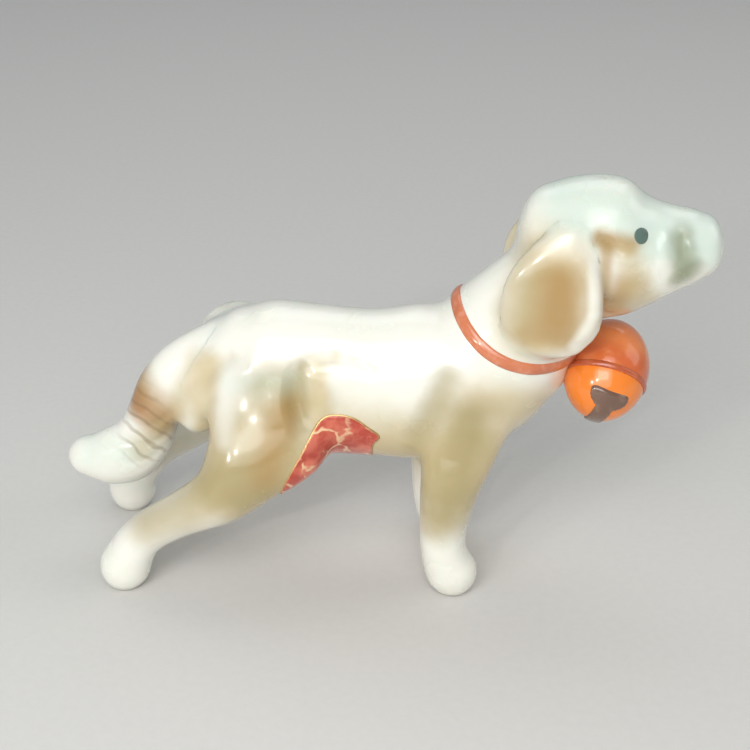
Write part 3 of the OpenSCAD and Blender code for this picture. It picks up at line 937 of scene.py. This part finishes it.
EAR_SPOTS = [
    ("cream", (20.0, -8.0, 43.2), (18.6, -8.0, 37.0), 7.0, 0.85, 1, 0.95),
    ("olive", (18.2, -8.2, 43.6), (17.4, -8.2, 38.6), 4.4, 0.95, 1, 0.62),
    ("ochre", (20.8, -8.4, 42.4), (20.8, -8.4, 38.4), 4.6, 0.95, 1, 0.92),
    ("ochre", (17.4, -8.0, 35.9), (22.0, -8.0, 35.6), 2.4, 0.95, 1, 0.50),
    ("white", (24.4, -8.0, 44.8), (24.9, -8.0, 39.0), 1.2, 0.95, 1, 0.75),
    ("white", (24.7, -8.0, 38.4), (22.8, -8.0, 34.8), 1.2, 0.95, 1, 0.65),
]
TAIL_SPOTS = [
    ("cream", (-21.6, -3.0, 28.0), (-24.6, -4.0, 22.0), 3.0, 0.9, 0, 0.70),
    ("ochre", (-31.4, -1.0, 25.6), (-26.4, -1.0, 21.2), 4.4, 0.9, 0, 0.90),
    ("brown", (-31.6, -1.0, 23.6), (-27.2, -1.0, 20.0), 3.2, 0.9, 0, 0.85),
    ("olive", (-27.0, -1.0, 19.6), (-29.4, -1.0, 16.6), 3.2, 0.95, 0, 0.85),
    ("mint", (-31.6, -1.0, 15.6), (-36.0, -1.0, 15.0), 3.4, 0.95, 0, 0.50),
]
TAIL_AXIS = (-0.53, 0.0, -0.848)  # from root to tip, where the brown band is
TAIL_BAND = mm(-28.5, 0.0, 20.5)
LOCK_SPACING = 0.00175


def spots_near(*nodes):
    """The sprayed spots, with the painted shadow among them, that reach any of the nodes, in one order, so
    that paint runs over the seams.
    """
    chosen = []
    for spot in BODY_SPOTS + TAIL_SPOTS + HEAD_SPOTS + EAR_SPOTS:
        start, end, radius = spot[1:4]
        for node in nodes:
            low, high = (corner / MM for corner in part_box(node))
            gaps = [max(low[k] - max(start[k], end[k]), min(start[k], end[k]) - high[k]) for k in (0, 2)]
            across = spot[5] or (min(start[1], end[1]) < 0) == (low.y + high.y < 0) or abs(low.y + high.y) < 2
            if max(gaps) < radius * 1.2 and across:
                chosen.append(spot)
                break
    return chosen


def glazed_material(name, spots, locks=False):
    """White glaze with its airbrushed colours, a painted shadow by the ear on the head, and brushed locks on
    the tail.
    """
    material, t, shader, place = new_material(name)
    tints = colours()
    colour = tuple(tints.white)
    spray = airbrush_and_shade_group()
    for tint, start, end, radius, soft, both, strength in spots:
        spot = placed(t, spray, Position=place, From=mm(*start), To=mm(*end), Radius=radius * MM,
                      Softness=soft, Both_sides=float(both), Strength=strength)
        colour = t.mix(spot.outputs[0], colour, tuple(getattr(tints, tint)))
    if locks:
        offset = t.vector("SUBTRACT", place, TAIL_BAND)
        down = t.vector("DOT_PRODUCT", offset, TAIL_AXIS)
        side = t.vector("DOT_PRODUCT", offset, (TAIL_AXIS[2], 0.0, -TAIL_AXIS[0]))
        bow = t.math("MULTIPLY", t.math("MULTIPLY", side, side), 70.0)
        wander = t.math("MULTIPLY", t.math("SUBTRACT", t.noise(place, 190.0, 2.0), 0.5), 0.0026)
        level = t.math("SUBTRACT", t.math("ADD", down, wander), bow)
        phase = t.math("MULTIPLY", level, FULL_TURN / LOCK_SPACING)
        hair = t.ramp(t.math("SINE", phase), 0.30, 1.05)
        zone = placed(t, spray, Position=place, From=mm(-29.4, -1.0, 21.6), To=mm(-28.6, -1.0, 17.4),
                      Radius=4.8 * MM, Softness=0.8, Both_sides=0.0, Strength=0.50)
        colour = t.mix(t.math("MULTIPLY", hair, zone.outputs[0]), colour, tuple(tints.umber))
    pool = t.add("ShaderNodeAttribute", attribute_name="pool").outputs["Fac"]
    glaze = placed(t, glaze_group(), Position=place, Colour=colour, Pool=pool,
                   Pool_colour=tuple(tints.olive))
    coated(t, shader, glaze, 0.25, 0.00015)
    t.link(glaze.outputs["Coat"], shader.inputs["Coat Weight"])
    shader.inputs["Coat Roughness"].default_value = 0.14
    shader.inputs["Subsurface Weight"].default_value = 0.12
    shader.inputs["Subsurface Scale"].default_value = 0.0012
    return material


def enamel_group():
    """Brushed enamel: uneven thickness, soft streaks and worn high spots."""
    name = "Enamel"
    if name in bpy.data.node_groups:
        return bpy.data.node_groups[name]
    t, source, sink = group_shell(name, [
        ("Position", "vector", None), ("Colour", "colour", (0.6, 0.1, 0.05, 1)),
        ("Thin colour", "colour", (0.7, 0.3, 0.2, 1)), ("Grain", "number", 700.0),
        ("Unevenness", "number", 0.5)],
        [("Colour", "colour"), ("Roughness", "number"), ("Height", "number")])
    i = source.outputs
    cloud = t.noise(i["Position"], i["Grain"], 4.0, 0.6, 0.4)
    broad = t.noise(i["Position"], t.math("MULTIPLY", i["Grain"], 0.25), 2.0)
    thin = t.math("MULTIPLY", t.ramp(cloud, 0.45, 0.75), i["Unevenness"])
    deep = t.math("MULTIPLY", t.ramp(broad, 0.55, 0.30), t.math("MULTIPLY", i["Unevenness"], 0.6))
    colour = t.mix(thin, i["Colour"], i["Thin colour"])
    colour = t.mix(deep, colour, t.mix(1.0, i["Colour"], (0.62, 0.5, 0.5, 1), "MULTIPLY"))
    t.link(colour, sink.inputs["Colour"])
    t.link(t.math("ADD", 0.12, t.math("MULTIPLY", cloud, 0.16)), sink.inputs["Roughness"])
    t.link(t.math("ADD", t.math("MULTIPLY", cloud, 0.4), broad), sink.inputs["Height"])
    return t.tree


def enamel_material(name, tint, thin, grain=700.0, uneven=0.5, bump_size=0.00006, paint=None):
    """Glossy enamel. paint, if given, takes the tree, place and colour and returns the colour to use."""
    material, t, shader, place = new_material(name)
    colour = tuple(tint)
    if paint:
        colour = paint(t, place, colour)
    enamel = placed(t, enamel_group(), Position=place, Colour=colour, Thin_colour=(*thin, 1),
                    Grain=grain, Unevenness=uneven)
    coated(t, shader, enamel, 0.35, bump_size)
    shader.inputs["Coat Weight"].default_value = 0.6
    shader.inputs["Coat Roughness"].default_value = 0.05
    return material


# ---- geometry nodes --------------------------------------------------------------------------


def bead_group():
    """A bead of enamel that follows a closed path and is pressed onto a surface."""
    name = "Bead on a surface"
    if name in bpy.data.node_groups:
        return bpy.data.node_groups[name]
    group = bpy.data.node_groups.new(name, "GeometryNodeTree")
    for label, kind, default in (("Geometry", "Geometry", None), ("Surface", "Object", None),
                                 ("Material", "Material", None), ("Width", "Float", 0.001),
                                 ("Rise", "Float", 0.0003), ("Spacing", "Float", 0.0002),
                                 ("Sides", "Int", 16), ("Unevenness", "Float", 0.1), ("Seed", "Int", 3)):
        socket = group.interface.new_socket(label, in_out="INPUT", socket_type="NodeSocket" + kind)
        if default is not None:
            socket.default_value = default
    group.interface.new_socket("Geometry", in_out="OUTPUT", socket_type="NodeSocketGeometry")
    t = Tree(group)
    source, sink = t.add("NodeGroupInput"), t.add("NodeGroupOutput")
    i = source.outputs
    curve = t.add("GeometryNodeMeshToCurve")
    t.link(i["Geometry"], curve.inputs["Mesh"])
    even = t.add("GeometryNodeResampleCurve", mode="LENGTH")
    t.link(curve.outputs[0], even.inputs["Curve"])
    t.link(i["Spacing"], even.inputs["Length"])
    ring = t.add("GeometryNodeCurvePrimitiveCircle")
    t.link(i["Sides"], ring.inputs["Resolution"])
    t.link(t.math("MULTIPLY", i["Width"], 0.5), ring.inputs["Radius"])
    place = t.add("GeometryNodeInputPosition")
    wave = t.add("ShaderNodeTexNoise", noise_dimensions="4D")
    t.link(place.outputs[0], wave.inputs["Vector"])
    t.link(i["Seed"], wave.inputs["W"])
    wave.inputs["Scale"].default_value = 350.0
    size = t.math("ADD", 1.0, t.math("MULTIPLY", t.math("SUBTRACT", wave.outputs[0], 0.5),
                                     t.math("MULTIPLY", i["Unevenness"], 2.0)))
    grow = t.add("GeometryNodeSetCurveRadius")
    t.link(even.outputs[0], grow.inputs["Curve"])
    t.link(size, grow.inputs["Radius"])
    tube = t.add("GeometryNodeCurveToMesh")
    t.link(grow.outputs[0], tube.inputs["Curve"])
    t.link(ring.outputs[0], tube.inputs["Profile Curve"])
    if "Scale" in tube.inputs:
        radius = t.add("GeometryNodeInputRadius")
        t.link(radius.outputs[0], tube.inputs["Scale"])
    info = t.add("GeometryNodeObjectInfo", transform_space="RELATIVE")
    t.link(i["Surface"], info.inputs["Object"])
    near = t.add("GeometryNodeProximity", target_element="FACES")
    t.link(info.outputs["Geometry"], near.inputs[0])
    at = near.outputs["Position"]
    lift = t.vector("SUBTRACT", place.outputs[0], at)
    pressed = t.vector("ADD", at, t.vector("SCALE", lift, scale=t.math(
        "DIVIDE", i["Rise"], t.math("MULTIPLY", i["Width"], 0.5))))
    put = t.add("GeometryNodeSetPosition")
    t.link(tube.outputs[0], put.inputs["Geometry"])
    t.link(pressed, put.inputs["Position"])
    real = t.add("GeometryNodeRealizeInstances")
    t.link(put.outputs[0], real.inputs[0])
    finish = t.add("GeometryNodeSetMaterial")
    t.link(real.outputs[0], finish.inputs["Geometry"])
    t.link(i["Material"], finish.inputs["Material"])
    t.link(finish.outputs[0], sink.inputs[0])
    return group


def with_nodes(obj, group, values):
    """Runs a geometry tree on obj with these named inputs, and keeps the plain mesh."""
    step = obj.modifiers.new(group.name, "NODES")
    step.node_group = group
    sockets = {s.name: s.identifier for s in group.interface.items_tree if s.in_out == "INPUT"}
    for label, value in values.items():
        step[sockets[label]] = value
    return settle(obj)


def bead(name, points, surface, material, width, rise, **more):
    """A closed bead of enamel through points (metres), on the surface object."""
    count = len(points)
    mesh = bpy.data.meshes.new(name)
    mesh.from_pydata([tuple(p) for p in points], [(k, (k + 1) % count) for k in range(count)], [])
    obj = linked(name, mesh)
    return with_nodes(obj, bead_group(), {"Surface": surface, "Material": material, "Width": width,
                                          "Rise": rise, **more})


# ---- operators -------------------------------------------------------------------------------


def away(turn, rise):
    """The direction at turn degrees from the right flank and rise degrees up."""
    turn, rise = math.radians(turn), math.radians(rise)
    return Vector((math.sin(turn) * math.cos(rise), -math.cos(turn) * math.cos(rise), math.sin(rise)))


def aimed(name, data, middle, turn, rise, far):
    """Puts a lamp or camera far metres from middle, looking at it."""
    obj = bpy.data.objects.new(name, data)
    bpy.context.scene.collection.objects.link(obj)
    obj.location = middle + away(turn, rise) * far
    obj.rotation_euler = away(turn, rise).to_track_quat("Z", "Y").to_euler()
    return obj


class FIGURINE_OT_stage(bpy.types.Operator):
    """Lay the pale floor and set the soft lights and the camera"""

    bl_idname = "figurine.stage"
    bl_label = "Stage"

    def execute(self, context):
        scene = context.scene
        scene.view_settings.view_transform = "Standard"
        scene.view_settings.look = "None"
        mesh = reworked(bpy.data.meshes.new("floor"), lambda bm: bmesh.ops.create_grid(
            bm, x_segments=2, y_segments=2, size=3.0))
        floor = linked("floor", mesh)
        material, t, shader, place = new_material("Floor paper")
        tone = t.mix(t.noise(place, 900.0, 2.0), (0.63, 0.62, 0.60, 1), (0.67, 0.66, 0.64, 1))
        t.link(tone, shader.inputs["Base Color"])
        shader.inputs["Roughness"].default_value = 0.9
        shader.inputs["Specular IOR Level"].default_value = 0.1
        mesh.materials.append(material)
        world = bpy.data.worlds.new("Studio")
        scene.world = world
        world.use_nodes = True
        background = world.node_tree.nodes["Background"]
        background.inputs["Color"].default_value = (0.80, 0.84, 0.86, 1)
        background.inputs["Strength"].default_value = 0.40
        low, high = (Vector(v) for v in CAD_BOUNDS)
        middle = Vector(((low.x + high.x) / 2 - 0.0007, 0.0, high.z * 0.497))
        # name, azimuth from the right flank, elevation, distance, width, height, watts, colour
        lamps = [("key_softbox", -4, 34, 0.40, 0.36, 0.40, 0.85, (1.0, 0.99, 0.96)),
                 ("key_core", -4, 36, 0.385, 0.20, 0.18, 0.42, (1.0, 0.99, 0.97)),
                 ("top_softbox", 180, 62, 0.45, 0.50, 0.26, 0.42, (0.94, 0.97, 1.0)),
                 ("side_softbox", 95, 30, 0.45, 0.20, 0.30, 0.22, (1.0, 0.96, 0.92)),
                 ("glint_lamp", -34, 14, 0.30, 0.010, 0.010, 0.10, (1.0, 1.0, 1.0)),
                 ("glint_window", -20, 22, 0.30, 0.012, 0.006, 0.08, (1.0, 1.0, 1.0))]
        for name, turn, rise, far, wide, tall, watts, tint in lamps:
            data = bpy.data.lights.new(name, "AREA")
            data.shape, data.size, data.size_y = "RECTANGLE", wide, tall
            data.energy, data.color = watts, tint
            aimed(name, data, middle, turn, rise, far)
        data = bpy.data.cameras.new("camera")
        data.sensor_width, data.lens = 36.0, 74.75
        data.clip_start, data.clip_end = 0.01, 20.0
        scene.camera = aimed("camera", data, middle, 5.0, 27.0, 0.190)
        return {"FINISHED"}


class FIGURINE_OT_body(bpy.types.Operator):
    """Model the glazed skin and cut it into head, ears, trunk, legs and tail"""

    bl_idname = "figurine.body"
    bl_label = "Glazed body"

    def execute(self, context):
        whole, clay = model_skin()
        normals = clay.normals()
        hollow = ((clay.around(clay.co) - clay.co) * normals).sum(1) / MM
        pool = np.clip(clay.blurred(clay.blurred(hollow, 6) * 32.0, 5), 0, 0.6)
        skin.update(form=whole, co=clay.co, normals=normals)
        tree = BVHTree.FromPolygons(clay.co.tolist(), [p.vertices[:] for p in whole.data.polygons])
        faces = [np.array(p.vertices[:]) for p in whole.data.polygons]
        skin["tree"] = tree
        finds = KDTree(len(clay.co))
        for k, p in enumerate(clay.co):
            finds.insert(p, k)
        finds.balance()
        materials = {
            "body": glazed_material("Body glaze", spots_near("trunk", *LEGS)),
            "head": glazed_material("Head glaze", spots_near("head")),
            "ear": glazed_material("Ear glaze", spots_near("right_ear", "left_ear")),
            "tail": glazed_material("Tail glaze", spots_near("tail"), locks=True),
        }
        pieces = cut_pieces(whole)
        sizes = body_sizes()
        bottom = tree.ray_cast(Vector((VENT_X, 0, 0)), Vector((0, 0, 1)))[0].z
        hole = vent_rod(sizes.vent, bottom - 0.002, bottom + sizes.vent_depth)
        combine(pieces["trunk"], hole, "DIFFERENCE")
        for name, obj in pieces.items():
            shade_as_one(obj, tree, clay.co, faces, normals)
            values = [pool[finds.find(v.co)[1]] for v in obj.data.vertices]
            layer = obj.data.attributes.new("pool", "FLOAT", "POINT")
            layer.data.foreach_set("value", np.array(values, np.float32))
            kind = ("ear" if name.endswith("ear") else name if name in ("head", "tail") else "body")
            finished(obj, name, materials[kind], SLOTS[name], smooth=False)
        return {"FINISHED"}


def collar_path(count=160):
    """Where the sagging collar lies on the skin."""
    across = Vector((COLLAR_UP[2], 0.0, -COLLAR_UP[0]))
    up = Vector(COLLAR_UP)
    out = []
    for k in range(count):
        a = 2 * math.pi * k / count
        aim = across * math.cos(a) + Vector((0, 1, 0)) * math.sin(a)
        y = 0.0
        for _ in range(6):
            start = Vector(COLLAR_MIDDLE) - up * sag(y)
            hit = skin["tree"].ray_cast(start, aim)[0]
            if hit is None:
                raise RuntimeError("the collar's path left the neck")
            y = hit.y
        out.append(hit)
    return out


class FIGURINE_OT_collar(bpy.types.Operator):
    """Lay the enamel collar on the neck"""

    bl_idname = "figurine.collar"
    bl_label = "Collar"

    def execute(self, context):
        trim, tints = trim_sizes(), colours()
        material = enamel_material("Collar enamel", tints.red, (0.70, 0.33, 0.22), 900.0, 0.55)
        collar = bead("collar", collar_path(), skin["form"], material, trim.collar_width,
                      trim.collar_rise, Spacing=0.00022, Sides=18, Unevenness=0.12, Seed=5)
        finished(collar, "collar", material, "collar_enamel")
        return {"FINISHED"}


BELL_TURN = Euler((math.radians(-46), math.radians(22), math.radians(5)), "XYZ")
BELL_GIRTH, BELL_HALF = 0.0051, 0.0064
BELT_DROP = 0.0014  # how far the band lies below the bell's middle
BELL_LOW, BELL_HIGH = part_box("bell")


def bell_reach(row):
    """How far the turned bell reaches along one axis."""
    return Vector((row[0] * BELL_GIRTH, row[1] * BELL_GIRTH, row[2] * BELL_HALF)).length


BELL_REACH = [bell_reach(row) for row in BELL_TURN.to_matrix()]
BELL_MIDDLE = Vector((BELL_HIGH.x - BELL_REACH[0], 0.0, BELL_LOW.z + BELL_REACH[2]))


def bell_place():
    return Matrix.Translation(BELL_MIDDLE) @ BELL_TURN.to_matrix().to_4x4()


def bell_shell(name, grow=0.0):
    """The bell's closed ellipsoid, with a slight waist where its two cups meet."""

    def point(latitude, turn):
        z = (BELL_HALF + grow) * math.sin(latitude)
        r = (BELL_GIRTH + grow) * math.cos(latitude)
        r *= 1 - 0.018 * math.exp(-((z + BELT_DROP) / 0.0007) ** 2)
        return r * math.cos(turn), r * math.sin(turn), z

    mesh = globe(name, 72, 112, point)
    mesh.transform(bell_place())
    return linked(name, mesh)


class FIGURINE_OT_bell(bpy.types.Operator):
    """Make the bell, the band around it and its slot"""

    bl_idname = "figurine.bell"
    bl_label = "Bell"

    def execute(self, context):
        trim, tints = trim_sizes(), colours()

        def two_tone(t, place, colour):
            """Red orange crown, dark red at the band, and a bright bowl below it."""
            axis = BELL_TURN.to_matrix() @ Vector((0, 0, 1))
            height = t.vector("DOT_PRODUCT", t.vector("SUBTRACT", place, tuple(BELL_MIDDLE)), tuple(axis))
            wave = t.math("MULTIPLY", t.math("SUBTRACT", t.noise(place, 420.0), 0.5), 0.0008)
            level = t.math("ADD", height, wave)
            banded = t.mix(t.ramp(level, -0.0016, -0.0009), colour, (0.62, 0.13, 0.034, 1))
            return t.mix(t.ramp(level, 0.0002, 0.0030), banded, (0.78, 0.24, 0.07, 1))

        material = enamel_material("Bell enamel", tints.orange, (0.74, 0.26, 0.06), 520.0, 0.35,
                                   paint=two_tone)
        surface = bell_shell("bell_surface")
        finished(bell_shell("bell"), "bell", material, "bell_enamel")
        material = enamel_material("Bell band enamel", (0.46, 0.085, 0.026, 1), (0.60, 0.18, 0.06), 800.0,
                                   0.5)
        girth = BELL_GIRTH * math.sqrt(1 - (BELT_DROP / BELL_HALF) ** 2)
        ring = [bell_place() @ Vector((girth * math.cos(a), girth * math.sin(a), -BELT_DROP))
                for a in np.linspace(0, FULL_TURN, 128, endpoint=False)]
        band = bead("bell_belt", ring, surface, material, trim.belt_width, 0.00022, Spacing=0.0002,
                    Sides=14, Unevenness=0.2, Seed=9)
        finished(band, "bell_belt", material, "bell_band_enamel")
        # slot: a keyhole of thick enamel
        half, cap = 0.00105, -0.0031
        outline = [(0.0024 * math.cos(a), cap + 0.00084 * math.sin(a))
                   for a in np.radians(np.arange(65, -246, -10.0))]
        stem = [(1.0, cap + 0.0013), (0.9, 0.0002), (0.95, 0.0012), (0.5, 0.0017)]
        outline += [(-half * x, y) for x, y in stem] + [(0, 0.0018)] + [(half * x, y) for x, y in stem[::-1]]
        slot = prism(outline, -0.0090, -0.0005, bell_place())
        combine(slot, bell_shell("outer", trim.slot_rise), "INTERSECT")
        combine(slot, bell_shell("inner", -0.0004), "DIFFERENCE")
        soften(slot, 0.00012)
        material = enamel_material("Slot enamel", tints.slot, (0.29, 0.18, 0.12), 900.0, 0.6)
        finished(slot, "bell_slot", material, "slot_enamel")
        discard(surface)
        return {"FINISHED"}


def soften(obj, cell, rounds=6):
    """Melts the sharp edges of a small enamel drop."""
    clay = Clay(melt(obj, cell).data)
    clay.relax(rounds)
    put_points(obj.data, clay.co)


EYE_BACK = 0.0004
EYE_GROWTH = 1.1


class FIGURINE_OT_eyes(bpy.types.Operator):
    """Set the two enamel eyes"""

    bl_idname = "figurine.eyes"
    bl_label = "Eyes"

    def execute(self, context):
        tints = colours()
        material = enamel_material("Eye enamel", tints.eye, (0.12, 0.17, 0.15), 1200.0, 0.5)

        def drop(latitude, turn):
            """A flat, slightly uneven drop, one unit in radius."""
            r = math.cos(latitude)
            return r * math.cos(turn) * (1 + 0.04 * math.sin(3 * turn)), r * math.sin(turn), \
                0.14 * math.sin(latitude)

        for name in ("right_eye", "left_eye"):
            low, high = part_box(name)
            middle = (low + high) / 2
            at, normal = skin["tree"].find_nearest(middle - Vector((EYE_BACK, 0, 0)))[:2]
            size = (high.x - low.x) / 2 * EYE_GROWTH
            turn = normal.to_track_quat("Z", "Y").to_matrix().to_4x4()
            mesh = globe(name, 14, 36, drop)
            mesh.transform(Matrix.Translation(at) @ turn @ Matrix.Scale(size, 4))
            finished(linked(name, mesh), name, material, "eye_enamel")
        return {"FINISHED"}


def patch_outline():
    """The belly patch in side view, (x, z) in metres, closed."""
    low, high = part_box("belly_patch")
    w, h = high.x - low.x, high.z - low.z
    # shares of the box's width and height
    corners = [(-0.02, -0.35), (0.0, 0.0), (0.10, 0.30), (0.24, 0.58), (0.36, 0.84), (0.46, 0.97),
               (0.60, 1.0), (0.76, 0.96), (0.90, 0.84), (1.0, 0.74), (0.99, 0.68), (0.93, 0.56), (0.90, 0.2),
               (0.88, -0.35)]
    points = [(low.x + a * w, low.z + b * h) for a, b in corners]
    return [tuple(p) for p in smooth_curve(points, 5)]


class FIGURINE_OT_patch(bpy.types.Operator):
    """Lay the red enamel patch under the belly and its gilt edge"""

    bl_idname = "figurine.patch"
    bl_label = "Belly patch"

    def execute(self, context):
        trim, tints = trim_sizes(), colours()
        form = skin["form"]
        outline = patch_outline()

        def shell(grow):
            mesh = form.data.copy()
            put_points(mesh, skin["co"] + skin["normals"] * grow)
            return linked("shell", mesh)

        # prism across the body: x, z outline, pushed along y
        place = Matrix(((1, 0, 0, 0), (0, 0, -1, 0), (0, 1, 0, 0), (0, 0, 0, 1)))
        patch = prism(outline, -0.02, 0.02, place)
        combine(patch, shell(trim.patch_rise), "INTERSECT")
        combine(patch, shell(-0.0005), "DIFFERENCE")
        reworked(patch.data, lambda bm: bmesh.ops.recalc_face_normals(bm, faces=bm.faces))
        # gilt line along the rim of the patch
        rim = patch_rim(outline)
        gilt = gilt_material(tints)
        line = bead("patch_line", rim, form, gilt, trim.gilt_width * 1.6, trim.gilt_rise,
                    Spacing=0.0002, Sides=12, Unevenness=0.35, Seed=11)
        finished(line, "patch_line", gilt, "gilt")
        finished(patch, "belly_patch", patch_material(tints), "patch_enamel")
        return {"FINISHED"}


def patch_rim(outline, step=0.0002):
    """The patch's edge on the skin: up and over on the right flank, and back on the left."""
    flat = np.array(outline)
    gaps = np.linalg.norm(np.diff(flat, axis=0), axis=1)
    total = np.concatenate([[0], np.cumsum(gaps)])
    count = int(total[-1] / step)
    xs = np.interp(np.linspace(0, total[-1], count), total, flat[:, 0])
    zs = np.interp(np.linspace(0, total[-1], count), total, flat[:, 1])
    sides = []
    for sign in (-1, 1):
        out = []
        for x, z in zip(xs, zs):
            hit = skin["tree"].ray_cast(Vector((x, sign * 0.03, z)), Vector((0, -sign, 0)))[0]
            if hit is not None and hit.y * sign > -0.0005:
                out.append(hit)
        sides.append(out)
    return sides[0] + sides[1][::-1]


def gilt_material(tints):
    """Worn gold lustre: metal where it is thick, red enamel where it is thin."""
    material, t, shader, place = new_material("Gilt")
    enamel = placed(t, enamel_group(), Position=place, Colour=tuple(tints.gilt),
                    Thin_colour=(0.75, 0.32, 0.16, 1), Grain=1500.0, Unevenness=0.9)
    coated(t, shader, enamel, 0.5, 0.00008)
    t.link(t.math("ADD", enamel.outputs["Roughness"], 0.10), shader.inputs["Roughness"])
    t.link(t.ramp(t.noise(place, 1800.0, 3.0), 0.35, 0.55, 0.3, 0.9), shader.inputs["Metallic"])
    return material


def patch_material(tints):
    """Red enamel with gold dust and threads that crossed it in the kiln."""

    def dusted(t, place, colour):
        drift = t.noise_node(place, 330.0)
        warp = t.vector("ADD", place, t.vector("SCALE", drift.outputs["Color"], scale=0.0028))
        cells = t.add("ShaderNodeTexVoronoi", feature="DISTANCE_TO_EDGE")
        t.feed(cells.inputs["Vector"], warp)
        t.feed(cells.inputs["Scale"], 300.0)
        thread = t.ramp(cells.outputs[0], 0.070, 0.015)
        broken = t.ramp(t.noise(place, 520.0, 3.0), 0.44, 0.58)
        rosy = t.mix(t.ramp(t.noise(place, 330.0, 3.0), 0.42, 0.66), colour, (0.70, 0.17, 0.10, 1))
        return t.mix(t.math("MULTIPLY", thread, broken), rosy, (0.86, 0.58, 0.34, 1))

    return enamel_material("Patch enamel", tints.patch, (0.66, 0.17, 0.11), 900.0, 0.6, 0.00010,
                           paint=dusted)


OPERATORS = (FIGURINE_OT_stage, FIGURINE_OT_body, FIGURINE_OT_collar, FIGURINE_OT_bell,
             FIGURINE_OT_eyes, FIGURINE_OT_patch)


class FIGURINE_PT_panel(bpy.types.Panel):
    """Lists the steps that build the figurine"""

    bl_idname = "FIGURINE_PT_panel"
    bl_label = "Ceramic dog figurine"
    bl_space_type = "VIEW_3D"
    bl_region_type = "UI"
    bl_category = "Figurine"

    def draw(self, context):
        for step in OPERATORS:
            self.layout.operator(step.bl_idname)
        scene = context.scene
        for group in (scene.figurine_body, scene.figurine_trim, scene.figurine_colours):
            box = self.layout.box()
            for name in group.__annotations__:
                box.prop(group, name)


CLASSES = (FigurineBodySizes, FigurineTrimSizes, FigurineColours, *OPERATORS, FIGURINE_PT_panel)


def register():
    for cls in CLASSES:
        bpy.utils.register_class(cls)
    bpy.types.Scene.figurine_body = PointerProperty(type=FigurineBodySizes)
    bpy.types.Scene.figurine_trim = PointerProperty(type=FigurineTrimSizes)
    bpy.types.Scene.figurine_colours = PointerProperty(type=FigurineColours)


def unregister():
    del bpy.types.Scene.figurine_colours
    del bpy.types.Scene.figurine_trim
    del bpy.types.Scene.figurine_body
    for cls in reversed(CLASSES):
        bpy.utils.unregister_class(cls)


def main():
    register()
    bpy.ops.figurine.stage()
    bpy.ops.figurine.body()
    bpy.ops.figurine.collar()
    bpy.ops.figurine.bell()
    bpy.ops.figurine.eyes()
    bpy.ops.figurine.patch()
    discard(skin["form"])


if __name__ == "__main__":
    main()
